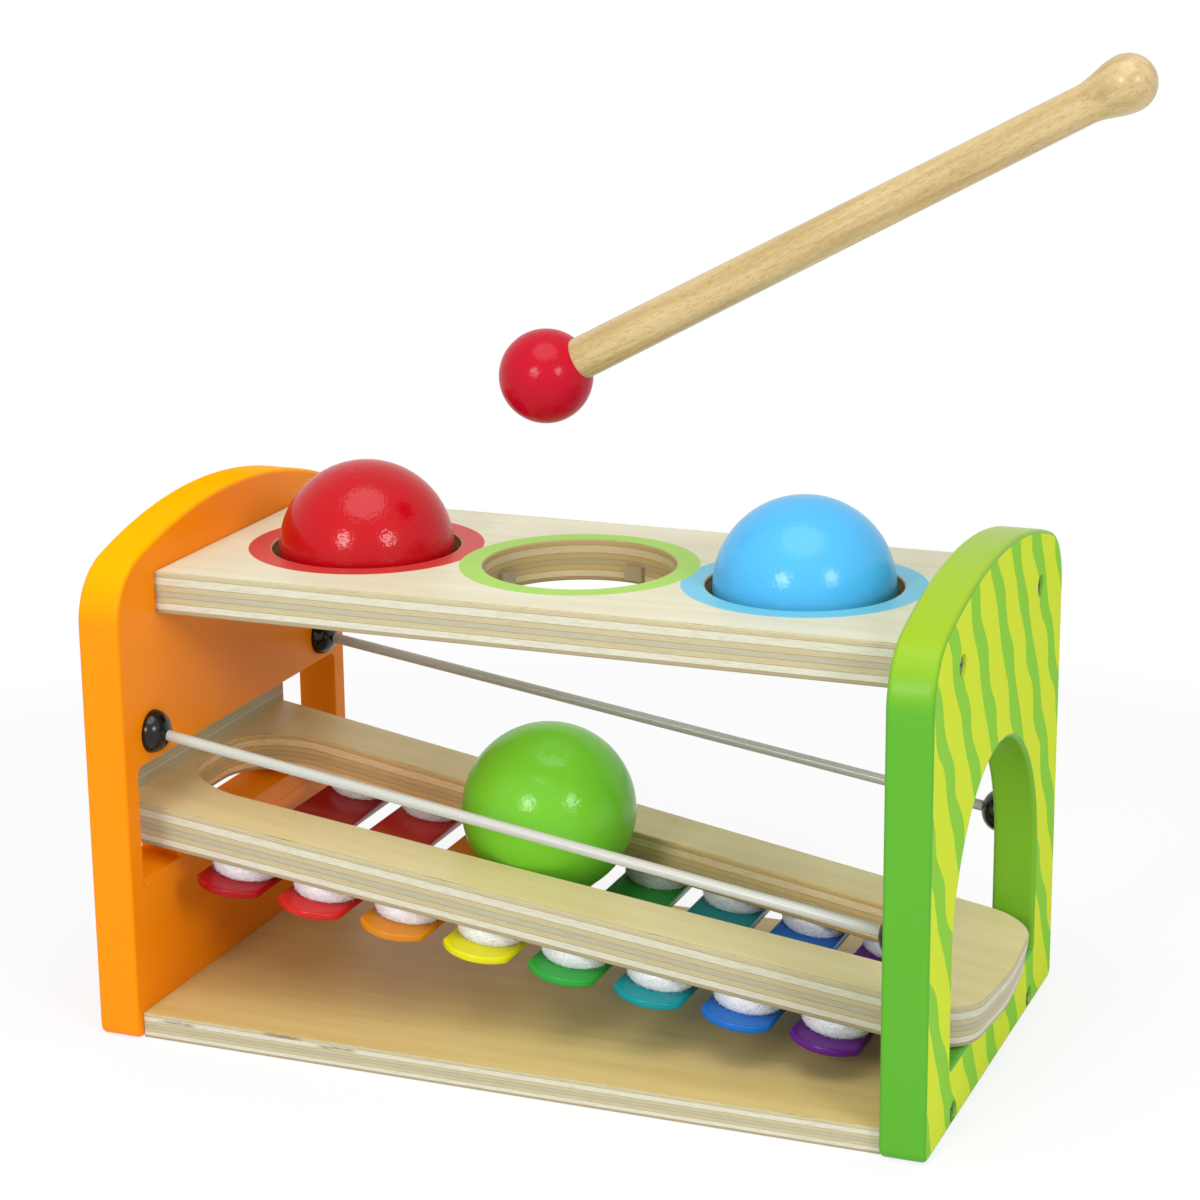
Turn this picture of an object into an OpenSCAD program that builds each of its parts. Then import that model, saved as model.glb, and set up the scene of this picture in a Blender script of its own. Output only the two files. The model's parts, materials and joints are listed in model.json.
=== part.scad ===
// Ball pounding bench of painted wood and birch plywood.
// Two arched end panels carry a top board with three ball holes, a base board, two guide rods and
// a sloping xylophone tray that draws out to the left. A mallet goes with it.
// Origin: centre of the underside. X runs along the bench, Y to the back and Z up.

/* [End panels] */
// Clear length between the two end panels
bench_clear_l = 208; // [200:1:216]
// Thickness of an end panel
panel_t = 12; // [10:0.5:14]
// Depth of an end panel, front to back
panel_d = 131; // [126:1:140]
// Height of an end panel at its crown
panel_h = 141; // [138:0.5:148]
// Radius of the crown
crown_r = 170; // [150:1:200]
// Radius of the shoulders beside the crown
shoulder_r = 18; // [12:1:24]
// Radius of the bottom corners
foot_r = 3; // [2:0.5:8]

/* [Openings in the panels] */
// Width of the opening in the left panel
opening_w = 117; // [112:1:120]
// Free height of that opening above the tray
opening_headroom = 14.9; // [12:0.1:18]
// Corner radius of that opening
opening_r = 2.5; // [2:0.5:8]
// Width of the arch in the right panel
arch_w = 86; // [82:1:92]
// Height of the arch from its sill to its crown
arch_h = 71.9; // [68:0.1:76]

/* [Boards] */
// Thickness of the top board
top_board_t = 11.5; // [10:0.5:13]
// Depth of the top board
top_board_d = 90.4; // [84:0.2:100]
// Drop from the crown of the panels to the top board
top_board_drop = 14.4; // [13:0.2:18]
// Thickness of the base board
base_t = 7; // [5:0.5:9]
// Depth of the base board
base_d = 125.2; // [116:0.2:130]

/* [Balls and holes] */
// Diameter of a ball
ball_d = 48; // [46:0.5:50]
// Radial gap between a ball and its hole
hole_gap = 1.9; // [1.4:0.1:2.4]
// Distance between neighbouring holes
hole_pitch = 63; // [60:0.5:64]
// Depth of a held ball's middle under the top of the board
ball_sink = 0.6; // [0:0.1:3]
// Place of the loose ball along the tray, from the middle of the bench
loose_ball_u = -11.4; // [-20:0.2:0]
// Rubber gripping pads around each hole
pads_per_hole = 4; // [2:1:6]
// Width of a gripping pad
pad_w = 5.6; // [4:0.1:8]
// Height of a gripping pad
pad_h = 4; // [3:0.5:8]
// Height of a gripping pad's underside over the underside of the board
pad_foot = 1.4; // [0.6:0.1:3]
// Turn of the first gripping pad from the length of the bench, in degrees
pad_turn = -15; // [-45:1:45]
// Depth of a gripping pad behind the wall of the hole
pad_depth = 1.6; // [1:0.1:2.5]
// Radial gap left between a gripping pad and its ball
pad_gap = 0.15; // [0.1:0.05:0.3]

/* [Tray] */
// Slope of the tray, in degrees, falling to the right
tray_slope = 8.33; // [7.5:0.01:9]
// Height of the tray's top face at the middle of the bench
tray_mid_z = 45.4; // [42:0.2:47]
// Thickness of the tray
tray_t = 11.5; // [10:0.5:13]
// Width of the tray at the left panel
tray_w_left = 94.5; // [90:0.5:98]
// Width of the tray at the right panel
tray_w_right = 71.5; // [66:0.5:76]
// Length of the tray's tail outside the left panel
tail_out = 14; // [13:0.5:18]
// Length of the tray's nose outside the right panel
nose_out = 2.8; // [1:0.2:6]
// Corner radius of the tail
tail_r = 14; // [10:1:32]
// Corner radius of the nose
nose_r = 15; // [8:1:18]
// Bulge of the nose past its corners
nose_bulge = 2.5; // [1:0.5:4]
// Radius at the middle of the bulge
nose_bulge_r = 105; // [60:5:150]
// Width of the ball slot at the left panel
slot_w_left = 53.2; // [50:0.2:56]
// Width of the ball slot at the right panel
slot_w_right = 33.7; // [28:0.1:38]
// Reach of the slot's left end into the left panel
slot_left_reach = 8.6; // [4:0.2:10]
// Distance of the slot's right end from the right panel
slot_right_stop = 2.5; // [1:0.5:6]
// Corner radius at the slot's left end
slot_left_r = 20; // [12:1:24]
// Corner radius at the slot's right end
slot_right_r = 12; // [8:1:15]
// Thickness of the stop batten on the tail
batten_t = 11.5; // [9:0.5:13]
// Height of the stop batten over the tray
batten_h = 19; // [17:0.5:24]
// Depth of the dip in the end bar under the slot
bar_dip = 2.4; // [1:0.2:4]
// Length of the low ends of the end bar
bar_end_l = 20; // [14:1:28]
// Gap between the tray and the low ends of the end bar
bar_end_drop = 5.4; // [2:0.2:6]

/* [Xylophone] */
// Distance between neighbouring keys
key_pitch = 24; // [22:0.1:24.5]
// Middle of the row of keys, from the middle of the bench
key_row_u = 0.6; // [0:0.2:6]
// Width of a key
key_w = 18.8; // [18.4:0.2:21]
// Thickness of a key
key_t = 2.2; // [1.5:0.1:3]
// Radius of the round ends of a key
key_end_r = 11; // [10.6:0.2:20]
// Reach of a key past the tray's long edge
key_reach = 6; // [0:0.2:8]
// Thickness of a felt pad
felt_t = 4.5; // [3.5:0.1:5.5]
// Diameter of a felt pad at the tray
felt_d = 19.4; // [17:0.2:21]
// Diameter of a felt pad at the key
felt_foot_d = 16.6; // [12:0.2:17]
// Diameter of a key pin
pin_d = 2.4; // [2:0.1:3]
// Diameter of a pin's head
pin_head_d = 6; // [4.5:0.5:7]
// Height of a pin's head
pin_head_h = 0.8; // [0.8:0.1:1.6]
// Length of a pin inside the tray
pin_grip = 8; // [5:0.5:9]

/* [Guide rods] */
// Diameter of a guide rod
rod_d = 3; // [3:0.1:4]
// Distance between the two guide rods
rod_spacing = 99.8; // [98:0.2:106]
// Height of the rods over the tray
rod_lift = 22.6; // [20:0.2:26]
// Length of a rod inside its bush
rod_seat_l = 6; // [4:0.5:6.5]
// Diameter of a bush's dome
bush_d = 11.8; // [9:0.2:13]
// Height of a bush's dome
bush_h = 5; // [3.5:0.1:6]
// Diameter of a bush's neck
bush_neck_d = 6.4; // [6:0.2:8]
// Length of a bush's neck
bush_neck_l = 7.5; // [7:0.5:9]

/* [Screws] */
// Diameter of a screw
screw_d = 3; // [2.5:0.1:3.5]
// Diameter of a screw's head
screw_head_d = 6; // [5:0.2:7]
// Height of a screw's head
screw_head_h = 2.4; // [1.8:0.1:3]
// Length of a screw
screw_l = 30; // [25:1:40]
// Distance between the two screws of one board
screw_spacing = 79; // [70:1:84]
// Depth of a screw's head under the panel's face
screw_sink = 0.8; // [0.4:0.1:1.5]
// Length of one arm of the cross in a screw's head
cross_l = 3.6; // [2.5:0.1:4.5]
// Width of one arm of the cross
cross_w = 0.9; // [0.6:0.1:1.2]
// Depth of the cross
cross_h = 1.2; // [0.8:0.1:1.6]

/* [Mallet] */
// Diameter of the head
mallet_head_d = 25; // [22:0.5:32]
// Length from the middle of the head to the end of the handle
mallet_l = 179; // [160:1:200]
// Diameter of the handle at the head
handle_neck_d = 11.2; // [9:0.2:12]
// Diameter of the handle at the grip
handle_grip_d = 10; // [8:0.2:11]
// Diameter of the knob
knob_d = 14.4; // [12:0.2:18]
// Length of the knob
knob_l = 19; // [16:1:30]
// Length of the handle inside the head
handle_seat_l = 9; // [6:0.5:11]
// Place of the head along the bench
mallet_x = -8.9; // [-30:0.1:30]
// Height of the head
mallet_z = 177; // [165:1:200]
// Tilt of the handle over the level, in degrees
mallet_tilt = 28; // [15:0.5:40]

/* [Hidden] */
$fn = 64;

// One overrun for every cut
over = 1;
// Clearance of fitted pieces that don't move
fit_gap = 0.05;
// Clearance of pieces that slide past each other
slide_gap = 0.3;
// Clearance of pieces that rest on each other
rest_gap = 0.1;
// Straight steps in a rounded corner, and in the crown of a panel
corner_steps = 8;
crown_steps = 20;
// Steps along the knob and its round end
knob_steps = 12;

ORANGE = [0.97, 0.58, 0.11];
GREEN = [0.45, 0.76, 0.25];
BIRCH = [0.90, 0.80, 0.62];
WHITE = [0.95, 0.95, 0.94];
BLACK = [0.06, 0.06, 0.06];
STEEL = [0.62, 0.63, 0.65];
CLEAR = [0.75, 0.76, 0.74];
RED = [0.85, 0.12, 0.16];
BLUE = [0.29, 0.72, 0.94];
KEY_COLOURS = [
    [0.72, 0.08, 0.12], [0.86, 0.24, 0.12], [0.85, 0.55, 0.12], [0.88, 0.86, 0.15],
    [0.25, 0.65, 0.28], [0.05, 0.58, 0.60], [0.10, 0.48, 0.82], [0.42, 0.20, 0.58]
];

// Places that several pieces share
inner_x = bench_clear_l / 2;
outer_x = inner_x + panel_t;
panel_half = panel_d / 2;
top_board_z = panel_h - top_board_drop;
top_board_mid_z = top_board_z - top_board_t / 2;
pad_mid_z = top_board_z - top_board_t + pad_foot + pad_h / 2;
ball_r = ball_d / 2;
hole_r = ball_r + hole_gap;
hole_xs = [-hole_pitch, 0, hole_pitch];
screw_ys = [-screw_spacing / 2, screw_spacing / 2];
screw_zs = [base_t / 2, top_board_mid_z];

// The tray has its own axes: u down the slope, v to the back, w square to its top face
tray_u_left = -inner_x / cos(tray_slope);
tray_u_right = inner_x / cos(tray_slope);
tail_u = -(outer_x + tail_out) / cos(tray_slope);
nose_u = (outer_x + nose_out) / cos(tray_slope);
slot_u_left = -(inner_x + slot_left_reach) / cos(tray_slope);
slot_u_right = (inner_x - slot_right_stop) / cos(tray_slope);

function between(u, left, right) =
    left + (right - left) * (u - tray_u_left) / (tray_u_right - tray_u_left);
function tray_half(u) = between(u, tray_w_left, tray_w_right) / 2;
function slot_half(u) = between(u, slot_w_left, slot_w_right) / 2;
function tray_top_z(x) = tray_mid_z - x * tan(tray_slope);
function tray_under_z(x) = tray_top_z(x) - tray_t / cos(tray_slope);

// What hangs under the tray, and the sills that leave it room
key_top_w = -tray_t - felt_t;
key_under_w = key_top_w - key_t;
hang = felt_t + key_t + pin_head_h;
left_sill_z = tray_under_z(-inner_x) - hang / cos(tray_slope) - slide_gap;
opening_top_z = tray_top_z(-inner_x) + opening_headroom;
right_sill_z = tray_under_z(outer_x) - rest_gap;
arch_spring_z = right_sill_z + arch_h - arch_w / 2;

// Middles of the keys along the tray, and of the rails that carry their pads
key_count = len(KEY_COLOURS);
key_us = [for (i = [0 : key_count - 1]) key_row_u + (i - (key_count - 1) / 2) * key_pitch];
function rail_mid(u) = (tray_half(u) + slot_half(u)) / 2;

// The loose ball lies on the two edges of the slot, or on the keys where the slot is wide
slot_taper = atan2((slot_w_left - slot_w_right) / 2, tray_u_right - tray_u_left);
edge_reach = slot_half(loose_ball_u) * cos(slot_taper);
loose_ball_w = max(sqrt(max(0, ball_r * ball_r - edge_reach * edge_reach)), ball_r + key_top_w) + slide_gap;

// The rods run beside the tray, and each end sits in a bush in the panel
function rod_u(x) = (x - rod_lift * sin(tray_slope)) / cos(tray_slope);
function rod_z(x) = tray_mid_z - rod_u(x) * sin(tray_slope) + rod_lift * cos(tray_slope);
rod_u_left = rod_u(-inner_x) - rod_seat_l;
rod_u_right = rod_u(inner_x) + rod_seat_l;
rod_ys = [-rod_spacing / 2, rod_spacing / 2];

// Points of an arc from angle a0 to a1
function arc(centre, r, a0, a1, steps) =
    [for (i = [0 : steps]) centre + r * [cos(a0 + (a1 - a0) * i / steps), sin(a0 + (a1 - a0) * i / steps)]];

// The arc that rounds the corner b between its neighbours a and c
function corner_arc(a, b, c, r) =
    let (
        to_a = (a - b) / norm(a - b),
        to_c = (c - b) / norm(c - b),
        half = acos(to_a * to_c) / 2,
        inward = (to_a + to_c) / norm(to_a + to_c),
        centre = b + inward * r / sin(half),
        start = b + to_a * r / tan(half) - centre,
        turn = (to_a.x * to_c.y - to_a.y * to_c.x > 0 ? -1 : 1) * (180 - 2 * half)
    )
    arc(centre, r, atan2(start.y, start.x), atan2(start.y, start.x) + turn, corner_steps);

// An outline with each corner rounded to its own radius
function rounded(points, radii) =
    let (n = len(points))
    [for (i = [0 : n - 1])
        each corner_arc(points[(i + n - 1) % n], points[i], points[(i + 1) % n], radii[i])];

function rectangle(x0, y0, x1, y1) = [[x0, y0], [x1, y0], [x1, y1], [x0, y1]];

// Outline of an end panel: rounded feet, straight sides, round shoulders and a crown
crown_z = panel_h - crown_r;
shoulder_y = panel_half - shoulder_r;
shoulder_z = crown_z + sqrt(pow(crown_r - shoulder_r, 2) - pow(shoulder_y, 2));
shoulder_a = atan2(shoulder_z - crown_z, shoulder_y);
crown_arc = arc([0, crown_z], crown_r, shoulder_a, 180 - shoulder_a, crown_steps);
panel_outline = concat(
    arc([foot_r - panel_half, foot_r], foot_r, 180, 270, corner_steps),
    arc([panel_half - foot_r, foot_r], foot_r, 270, 360, corner_steps),
    arc([shoulder_y, shoulder_z], shoulder_r, 0, shoulder_a, corner_steps),
    [for (i = [1 : crown_steps - 1]) crown_arc[i]],
    arc([-shoulder_y, shoulder_z], shoulder_r, 180 - shoulder_a, 180, corner_steps)
);

// Outline of the left opening, drawn in by a gap for the bar that fills its foot
function opening_outline(gap) =
    rounded(
        rectangle(gap - opening_w / 2, left_sill_z + gap, opening_w / 2 - gap, opening_top_z - gap),
        [for (i = [1 : 4]) opening_r - gap]
    );

tray_outline = rounded(
    [
        [tail_u, -tray_half(tail_u)], [nose_u, -tray_half(nose_u)], [nose_u + nose_bulge, 0],
        [nose_u, tray_half(nose_u)], [tail_u, tray_half(tail_u)]
    ],
    [tail_r, nose_r, nose_bulge_r, nose_r, tail_r]
);

slot_outline = rounded(
    [
        [slot_u_left, -slot_half(slot_u_left)], [slot_u_right, -slot_half(slot_u_right)],
        [slot_u_right, slot_half(slot_u_right)], [slot_u_left, slot_half(slot_u_left)]
    ],
    [slot_left_r, slot_right_r, slot_right_r, slot_left_r]
);

// Extrudes an outline of y and z along x, from x0 over the length l
module along_x(x0, l, outline) {
    translate([x0, 0, 0])
        rotate([90, 0, 90])
            linear_extrude(l)
                polygon(outline);
}

// A cylinder along x, from the point p over the length l
module bar_x(p, r, l) {
    translate(p)
        rotate([0, 90, 0])
            cylinder(r = r, h = l);
}

// Puts a shape drawn in the tray's own axes into its place
module on_tray() {
    translate([0, 0, tray_mid_z])
        rotate([0, tray_slope, 0])
            children();
}

// One guide rod's cylinder, grown by a gap for the bores that hold it
module rod_core(y, gap) {
    on_tray()
        bar_x([rod_u_left - gap, y, rod_lift], rod_d / 2 + gap, rod_u_right - rod_u_left + 2 * gap);
}

// A screw that points along +x with its head's face at x = 0, grown by a gap for its bore
module screw_core(gap, lead) {
    bar_x([-lead, 0, 0], screw_head_d / 2 + gap, lead + screw_head_h / 2 + gap);
    translate([screw_head_h / 2 + gap, 0, 0])
        rotate([0, 90, 0])
            cylinder(r1 = screw_head_d / 2 + gap, r2 = screw_d / 2 + gap, h = screw_head_h / 2);
    bar_x([0, 0, 0], screw_d / 2 + gap, screw_l + gap);
}

// Repeats a shape at the four screws of the left panel
module at_screws() {
    for (y = screw_ys, z = screw_zs)
        translate([screw_sink - outer_x, y, z])
            children();
}

module screw_bores() {
    at_screws() screw_core(fit_gap, over + screw_sink);
}

module panel_screws() {
    color(STEEL)
        at_screws()
            difference() {
                screw_core(0, 0);
                for (turn = [0, 90])
                    rotate([turn, 0, 0])
                        translate([-over, -cross_l / 2, -cross_w / 2])
                            cube([over + cross_h, cross_l, cross_w]);
            }
}

module left_panel() {
    color(ORANGE)
        difference() {
            along_x(-outer_x, panel_t, panel_outline);
            along_x(-outer_x - over, panel_t + 2 * over, opening_outline(0));
            screw_bores();
            for (y = rod_ys)
                bar_x([-inner_x - bush_neck_l - fit_gap, y, rod_z(-inner_x)],
                    bush_neck_d / 2 + fit_gap, bush_neck_l + fit_gap + over);
        }
}

module right_panel() {
    color(GREEN)
        difference() {
            along_x(inner_x, panel_t, panel_outline);
            bar_x([inner_x - over, 0, arch_spring_z], arch_w / 2, panel_t + 2 * over);
            translate([inner_x - over, -arch_w / 2, right_sill_z])
                cube([panel_t + 2 * over, arch_w, arch_spring_z - right_sill_z]);
            mirror([1, 0, 0]) screw_bores();
            for (y = rod_ys)
                bar_x([inner_x - over, y, rod_z(inner_x)],
                    bush_neck_d / 2 + fit_gap, bush_neck_l + fit_gap + over);
        }
}

// Repeats a shape around the three ball holes, pointing out along x
module around_holes() {
    for (x = hole_xs, i = [0 : pads_per_hole - 1])
        translate([x, 0, pad_mid_z])
            rotate([0, 0, pad_turn + i * 360 / pads_per_hole])
                children();
}

// The block of one gripping pad, from inside its hole to the bottom of its pocket
module pad_block() {
    translate([ball_r - pad_depth, -pad_w / 2, -pad_h / 2])
        cube([hole_gap + 2 * pad_depth, pad_w, pad_h]);
}

module top_board() {
    color(BIRCH)
        difference() {
            translate([-inner_x, -top_board_d / 2, top_board_z - top_board_t])
                cube([bench_clear_l, top_board_d, top_board_t]);
            for (x = hole_xs)
                translate([x, 0, top_board_z - top_board_t - over])
                    cylinder(r = hole_r, h = top_board_t + 2 * over);
            around_holes() pad_block();
            screw_bores();
            mirror([1, 0, 0]) screw_bores();
        }
}

module base_board() {
    color(BIRCH)
        difference() {
            translate([-inner_x, -base_d / 2, 0])
                cube([bench_clear_l, base_d, base_t]);
            screw_bores();
            mirror([1, 0, 0]) screw_bores();
        }
}

module gripping_pads() {
    color(CLEAR)
        around_holes()
            difference() {
                pad_block();
                translate([0, 0, -pad_h / 2 - over])
                    cylinder(r = ball_r + pad_gap, h = pad_h + 2 * over);
            }
}

module front_rod() {
    color(WHITE) rod_core(rod_ys[0], 0);
}

module rear_rod() {
    color(WHITE) rod_core(rod_ys[1], 0);
}

// Half outline of a bush: an elliptic dome over a straight neck
bush_profile = concat(
    [[0, -bush_neck_l], [bush_neck_d / 2, -bush_neck_l], [bush_neck_d / 2, 0]],
    [for (i = [0 : corner_steps]) [bush_d / 2 * cos(90 * i / corner_steps), bush_h * sin(90 * i / corner_steps)]]
);

// The two bushes of one panel: side is -1 on the left panel and 1 on the right one
module rod_bushes(side) {
    color(BLACK)
        difference() {
            for (y = rod_ys)
                translate([side * inner_x, y, rod_z(side * inner_x)])
                    rotate([0, -side * 90, 0])
                        rotate_extrude()
                            polygon(bush_profile);
            for (y = rod_ys)
                rod_core(y, fit_gap);
        }
}

module tray_frame() {
    color(BIRCH)
        on_tray()
            difference() {
                translate([0, 0, -tray_t])
                    linear_extrude(tray_t)
                        polygon(tray_outline);
                translate([0, 0, -tray_t - over])
                    linear_extrude(tray_t + 2 * over)
                        polygon(slot_outline);
                for (u = key_us, side = [-1, 1])
                    translate([u, side * rail_mid(u), -tray_t - over])
                        cylinder(r = pin_d / 2 + fit_gap, h = pin_grip + fit_gap + over);
            }
}

// The batten on the tail meets the outside of the left panel and stops the tray
module stop_batten() {
    color(BIRCH)
        intersection() {
            on_tray()
                linear_extrude(2 * batten_h)
                    polygon(tray_outline);
            translate([-outer_x - rest_gap - batten_t, -panel_half, 0])
                cube([batten_t, panel_d, tray_top_z(-outer_x) + batten_h]);
        }
}

// The bar under the tail fills the foot of the left opening and rests on its sill. It dips under the slot
// and is low at both ends
module end_bar() {
    color(ORANGE)
        difference() {
            intersection() {
                along_x(-outer_x, panel_t, opening_outline(rest_gap));
                on_tray()
                    translate([tail_u, -panel_half, -tray_t - hang - panel_t])
                        cube([nose_u - tail_u, panel_d, hang + panel_t]);
            }
            on_tray()
                translate([tail_u, -slot_w_left / 2, -tray_t - bar_dip])
                    cube([nose_u - tail_u, slot_w_left, bar_dip + over]);
            on_tray()
                for (v = [-panel_half, opening_w / 2 - bar_end_l])
                    translate([tail_u, v, -tray_t - bar_end_drop])
                        cube([nose_u - tail_u, panel_half - opening_w / 2 + bar_end_l, bar_end_drop + over]);
        }
}

module key(i) {
    u = key_us[i];
    end_v = tray_half(u) + key_reach - key_end_r;
    turn = asin(key_w / 2 / key_end_r);
    color(KEY_COLOURS[i])
        on_tray()
            difference() {
                translate([u, 0, key_under_w])
                    linear_extrude(key_t)
                        polygon(concat(
                            arc([0, -end_v], key_end_r, 270 - turn, 270 + turn, corner_steps),
                            arc([0, end_v], key_end_r, 90 - turn, 90 + turn, corner_steps)
                        ));
                for (side = [-1, 1])
                    translate([u, side * rail_mid(u), key_under_w - over])
                        cylinder(r = pin_d / 2 + fit_gap, h = key_t + 2 * over);
            }
}

// Half outline of a felt pad: wide at the tray, drawn in by a quarter ellipse towards the key
felt_profile = concat(
    [[pin_d / 2 + fit_gap, -felt_t]],
    [for (i = [0 : corner_steps])
        [
            felt_foot_d / 2 + (felt_d - felt_foot_d) / 2 * sin(90 * i / corner_steps),
            -felt_t * cos(90 * i / corner_steps)
        ]],
    [[pin_d / 2 + fit_gap, 0]]
);

// One row of felt pads: side is -1 at the front and 1 at the back
module felt_pads(side) {
    color(WHITE)
        on_tray()
            for (u = key_us)
                translate([u, side * rail_mid(u), -tray_t])
                    rotate_extrude()
                        polygon(felt_profile);
}

// Half outline of a pin: an elliptic head under the key and a straight shank
pin_profile = concat(
    [for (i = [0 : corner_steps])
        [pin_head_d / 2 * sin(90 * i / corner_steps), -pin_head_h * cos(90 * i / corner_steps)]],
    [[pin_d / 2, 0], [pin_d / 2, key_t + felt_t + pin_grip], [0, key_t + felt_t + pin_grip]]
);

// One row of key pins: side is -1 at the front and 1 at the back
module key_pins(side) {
    color(STEEL)
        on_tray()
            for (u = key_us)
                translate([u, side * rail_mid(u), key_under_w])
                    rotate_extrude()
                        polygon(pin_profile);
}

// A ball held in the hole at x
module held_ball(x) {
    translate([x, 0, top_board_z - ball_sink])
        sphere(r = ball_r);
}

module red_ball() {
    color(RED) held_ball(hole_xs[0]);
}

module blue_ball() {
    color(BLUE) held_ball(hole_xs[2]);
}

module green_ball() {
    color(GREEN)
        on_tray()
            translate([loose_ball_u, 0, loose_ball_w])
                sphere(r = ball_r);
}

// Puts a shape drawn along +z from the middle of the head into the mallet's place
module on_mallet() {
    translate([mallet_x, 0, mallet_z])
        rotate([0, 90 - mallet_tilt, 0])
            children();
}

// Half outline of the handle: straight seat, long taper, then a knob that swells and rounds off
handle_start = mallet_head_d / 2 - handle_seat_l;
knob_start = mallet_l - knob_l;
knob_wide = mallet_l - knob_d / 2;
handle_profile = concat(
    [[0, handle_start], [handle_neck_d / 2, handle_start], [handle_neck_d / 2, mallet_head_d / 2]],
    [for (i = [0 : knob_steps])
        [
            handle_grip_d / 2 + (knob_d - handle_grip_d) / 4 * (1 - cos(180 * i / knob_steps)),
            knob_start + (knob_wide - knob_start) * i / knob_steps
        ]],
    [for (i = [1 : knob_steps])
        [
            knob_d / 2 * cos(90 * i / knob_steps),
            knob_wide + knob_d / 2 * sin(90 * i / knob_steps)
        ]]
);

module mallet_handle() {
    color(BIRCH)
        on_mallet()
            rotate_extrude()
                polygon(handle_profile);
}

module mallet_head() {
    color(RED)
        on_mallet()
            difference() {
                sphere(r = mallet_head_d / 2);
                translate([0, 0, handle_start - fit_gap])
                    cylinder(r = handle_neck_d / 2 + fit_gap, h = handle_seat_l + over);
            }
}

left_panel();
right_panel();
top_board();
base_board();
gripping_pads();
front_rod();
rear_rod();
rod_bushes(-1);  // left_rod_bushes
rod_bushes(1);  // right_rod_bushes
panel_screws();  // left_panel_screws
mirror([1, 0, 0]) panel_screws();  // right_panel_screws
tray_frame();
stop_batten();
end_bar();
for (i = [0 : key_count - 1])
    key(i);
felt_pads(-1);  // front_felt_pads
felt_pads(1);  // rear_felt_pads
key_pins(-1);  // front_key_pins
key_pins(1);  // rear_key_pins
red_ball();
green_ball();
blue_ball();
mallet_handle();
mallet_head();
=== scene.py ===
# %% [markdown]
# # A ball pounding bench, dressed for its portrait
#
# The real bench is a wooden toy. Two painted end panels carry a plywood board with three holes, and a
# ball that is hammered through a hole rolls down a sloping tray over eight metal keys. The packed frame
# holds every piece at its true size and place, with plain faces and sharp edges. One could model over
# it by hand, but a script can be read, changed and run again. So each new surface is a grid of points
# from a formula, computed with numpy in millimetres, and it rides on the same body as the piece that
# it stands for.

import json
import math

import bmesh
import bpy
import numpy as np
from mathutils import Matrix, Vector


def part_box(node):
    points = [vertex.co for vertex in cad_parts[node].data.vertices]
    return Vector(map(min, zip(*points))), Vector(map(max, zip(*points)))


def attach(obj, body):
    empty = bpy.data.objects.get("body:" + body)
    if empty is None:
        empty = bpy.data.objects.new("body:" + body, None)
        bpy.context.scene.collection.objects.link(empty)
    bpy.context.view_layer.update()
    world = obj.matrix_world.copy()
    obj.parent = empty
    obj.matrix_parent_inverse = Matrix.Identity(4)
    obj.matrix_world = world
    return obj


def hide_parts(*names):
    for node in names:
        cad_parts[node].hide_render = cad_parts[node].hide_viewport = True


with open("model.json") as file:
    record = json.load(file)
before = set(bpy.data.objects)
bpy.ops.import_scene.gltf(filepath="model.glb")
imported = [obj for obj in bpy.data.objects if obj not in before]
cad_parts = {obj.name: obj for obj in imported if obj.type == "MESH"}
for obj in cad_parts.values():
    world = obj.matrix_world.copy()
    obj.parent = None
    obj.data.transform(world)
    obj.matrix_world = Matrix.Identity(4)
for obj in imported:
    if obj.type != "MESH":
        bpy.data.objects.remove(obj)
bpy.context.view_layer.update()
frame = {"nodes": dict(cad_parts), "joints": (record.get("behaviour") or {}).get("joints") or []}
MM = 0.001

# %% [markdown]
# ## Sizes from the frame
#
# A toy maker takes the sizes from a drawing, and here the frame is the drawing. The sizes could be typed
# in again, but then the looks would no longer follow the frame when it changes. So its pieces are
# measured. Blender counts in metres, and millimetres are easier to read for a toy.

# %% Sizes from the frame
def box_mm(node):
    """Lowest and highest corner of a CAD node, in millimetres."""
    low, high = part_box(node)
    return np.array(low) / MM, np.array(high) / MM


def points_mm(node):
    """All corner points of a CAD node, in millimetres."""
    vertices = frame["nodes"][node].data.vertices
    flat = np.empty(len(vertices) * 3, np.float32)
    vertices.foreach_get("co", flat)
    return flat.reshape(-1, 3).astype(float) / MM


RIGHT_LOW, RIGHT_HIGH = box_mm("right_panel")
INNER_X, OUTER_X = RIGHT_LOW[0], RIGHT_HIGH[0]
PANEL_HALF, PANEL_H = RIGHT_HIGH[1], RIGHT_HIGH[2]
print(f"bench {2 * OUTER_X:.1f} x {2 * PANEL_HALF:.1f} x {PANEL_H:.1f} mm")

# %% [markdown]
# ### The tray's own directions
#
# The tray slopes so that a ball rolls over the keys. Its pieces could be modelled level and then turned,
# but the export wants every object unturned, with its place in its mesh. So points are worked out in
# the tray's own directions: `u` down the slope, `v` to the back and `w` square to the top face. The
# tray slides along its slope, so the axis of its joint gives `u`.

# %% The tray's directions
SLIDE = next(joint for joint in frame["joints"] if joint["name"] == "tray_slide")
TRAY_U = np.array(SLIDE["axis"]) / np.linalg.norm(SLIDE["axis"])
TRAY_V = np.array([0.0, 1.0, 0.0])
TRAY_W = np.cross(TRAY_U, TRAY_V)
TRAY_LEVELS = points_mm("tray_frame") @ TRAY_W
TRAY_T = np.ptp(TRAY_LEVELS)
TRAY_ORIGIN = np.array([0.0, 0.0, TRAY_LEVELS.max() / TRAY_W[2]])
COS_SLOPE = TRAY_U[0]


def on_tray(u, v, w):
    """Points given in the tray's own directions: origin + u U + v V + w W, with w up from its top face."""
    u, v, w = np.broadcast_arrays(u, v, w)
    return TRAY_ORIGIN + u[..., None] * TRAY_U + v[..., None] * TRAY_V + w[..., None] * TRAY_W


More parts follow.
